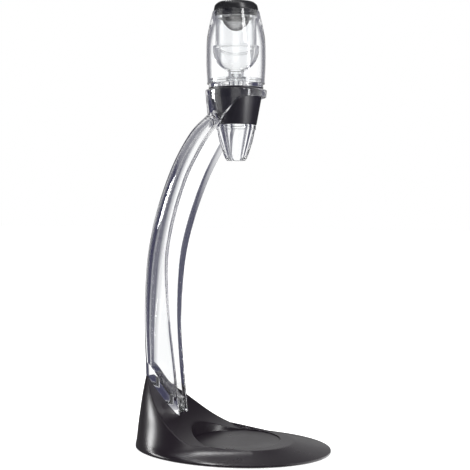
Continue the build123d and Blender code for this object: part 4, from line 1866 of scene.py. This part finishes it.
    def wall(self) -> None:
        """Round white wall with dark flags, which only clear pieces show."""
        points = []
        for k in range(self.wall_parts):
            angle = 2 * math.pi * k / self.wall_parts
            x, y = self.wall_radius * math.sin(angle), self.wall_radius * math.cos(angle)
            points += [(x, y, 0.0), (x, y, self.wall_height)]
        wall = solid_piece("studio_wall", points, ring_faces(self.wall_parts, 2, closed=False))
        material = bpy.data.materials.new("studio wall")
        material.use_nodes = True
        w = Wiring(material.node_tree)
        split = w.axes(w.coords())
        low, high = self.wall_fade
        above = w.span(split.outputs["Z"], low * MM, high * MM, (0.0, self.wall_high))
        glow = w.emission(self.wall_level)
        w.join(self.flagged(w, w.maths("MAXIMUM", self.panels(w, split), above)), glow.inputs["Color"])
        w.surface(glow)
        wall.data.materials.append(material)
        wall.visible_camera = wall.visible_diffuse = wall.visible_glossy = wall.visible_shadow = False

    @staticmethod
    def seen_rays(w: Wiring) -> Socket:
        """Mask of the rays that show a surface: from the camera, mirrored or through clear pieces.

        Args:
            w: Wiring of the tree.

        Returns:
            1 for those rays, otherwise 0.
        """
        path = w.node("ShaderNodeLightPath").outputs
        first = w.maths("MAXIMUM", path["Is Camera Ray"], path["Is Glossy Ray"])
        return w.maths("MAXIMUM", first, path["Is Transmission Ray"])

    def paper(self, w: Wiring) -> Node:
        """Floor that takes shadows and is close to white where the camera sees it.

        Args:
            w: Wiring of the floor's material.

        Returns:
            The shader.
        """
        shader = w.tree.nodes["Principled BSDF"]
        shader.inputs["Base Color"].default_value = (*self.floor_colour, 1)
        shader.inputs["Roughness"].default_value = 0.9
        shader.inputs["Specular IOR Level"].default_value = 0.1
        Finish.bump(w, w.noise(w.coords(), 400.0, 3.0), 0.00005, shader)
        glow = w.mix(self.seen_rays(w), w.emission(0.0), w.emission(self.floor_glow))
        total = w.node("ShaderNodeAddShader")
        for part, slot in zip((shader, glow), total.inputs):
            w.join(part.outputs[0], slot)
        return total

    def floor(self) -> None:
        """White floor: reflections see it dark with one bright patch, and clear pieces see it flagged."""
        mesh = bpy.data.meshes.new("floor")
        with edited(mesh) as work:
            bmesh.ops.create_grid(work, x_segments=1, y_segments=1, size=self.floor_size)
        material = bpy.data.materials.new("floor paper")
        material.use_nodes = True
        w = Wiring(material.node_tree)
        split = w.axes(w.coords())
        path = w.node("ShaderNodeLightPath").outputs
        mirrored = w.emission(self.sector(w, split, (self.glow_azimuth, self.glow_half, self.glow_fade),
                                          (self.glow_level, self.floor_mirror)))
        through = w.emission()
        w.join(self.flagged(w, self.panels(w, split)), through.inputs["Color"])
        indirect = w.mix(path["Is Transmission Ray"], mirrored, through)
        either = w.maths("MAXIMUM", path["Is Glossy Ray"], path["Is Transmission Ray"])
        w.surface(w.mix(either, self.paper(w), indirect))
        mesh.materials.append(material)
        link_piece("floor", mesh)

    def light(self, box: Softbox) -> None:
        """Sets up a lamp that the camera doesn't see.

        Args:
            box: The lamp.
        """
        data = bpy.data.lights.new(box.name, "AREA")
        data.shape = "RECTANGLE"
        data.size, data.size_y = box.size
        data.energy = box.watts
        lamp = link_piece(box.name, data)
        a, e = math.radians(box.azimuth), math.radians(box.elevation)
        aim = Vector((0, 0, self.lamp_middle))
        out = Vector((math.sin(a) * math.cos(e), -math.cos(a) * math.cos(e), math.sin(e)))
        place = out * self.lamp_distance + aim
        lamp.location = place
        lamp.rotation_euler = (aim - place).to_track_quat("-Z", "Y").to_euler()
        lamp.visible_camera = False

    def build(self) -> None:
        """Sets the whole studio up, with bounces enough for thick clear pieces."""
        scene = bpy.context.scene
        scene.view_settings.view_transform = "Standard"
        cycles = scene.cycles
        cycles.max_bounces = cycles.glossy_bounces = cycles.transmission_bounces = self.bounces
        self.camera()
        self.room()
        self.wall()
        self.floor()
        for box in self.lamps:
            self.light(box)


def main() -> None:
    """Builds the stand, the aerator, the strainer cap and the studio in order."""
    logging.basicConfig(level=logging.INFO, format="%(name)s: %(message)s")
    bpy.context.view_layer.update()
    Studio().build()
    wardrobe = Wardrobe()
    base = Base()
    base.dress(wardrobe)
    Pillar(base).dress(wardrobe)
    aerator = Aerator()
    aerator.dress(wardrobe)
    FunnelStack(aerator).dress(wardrobe)
    StrainerCap(aerator).dress(wardrobe)


if __name__ == "__main__":
    main()
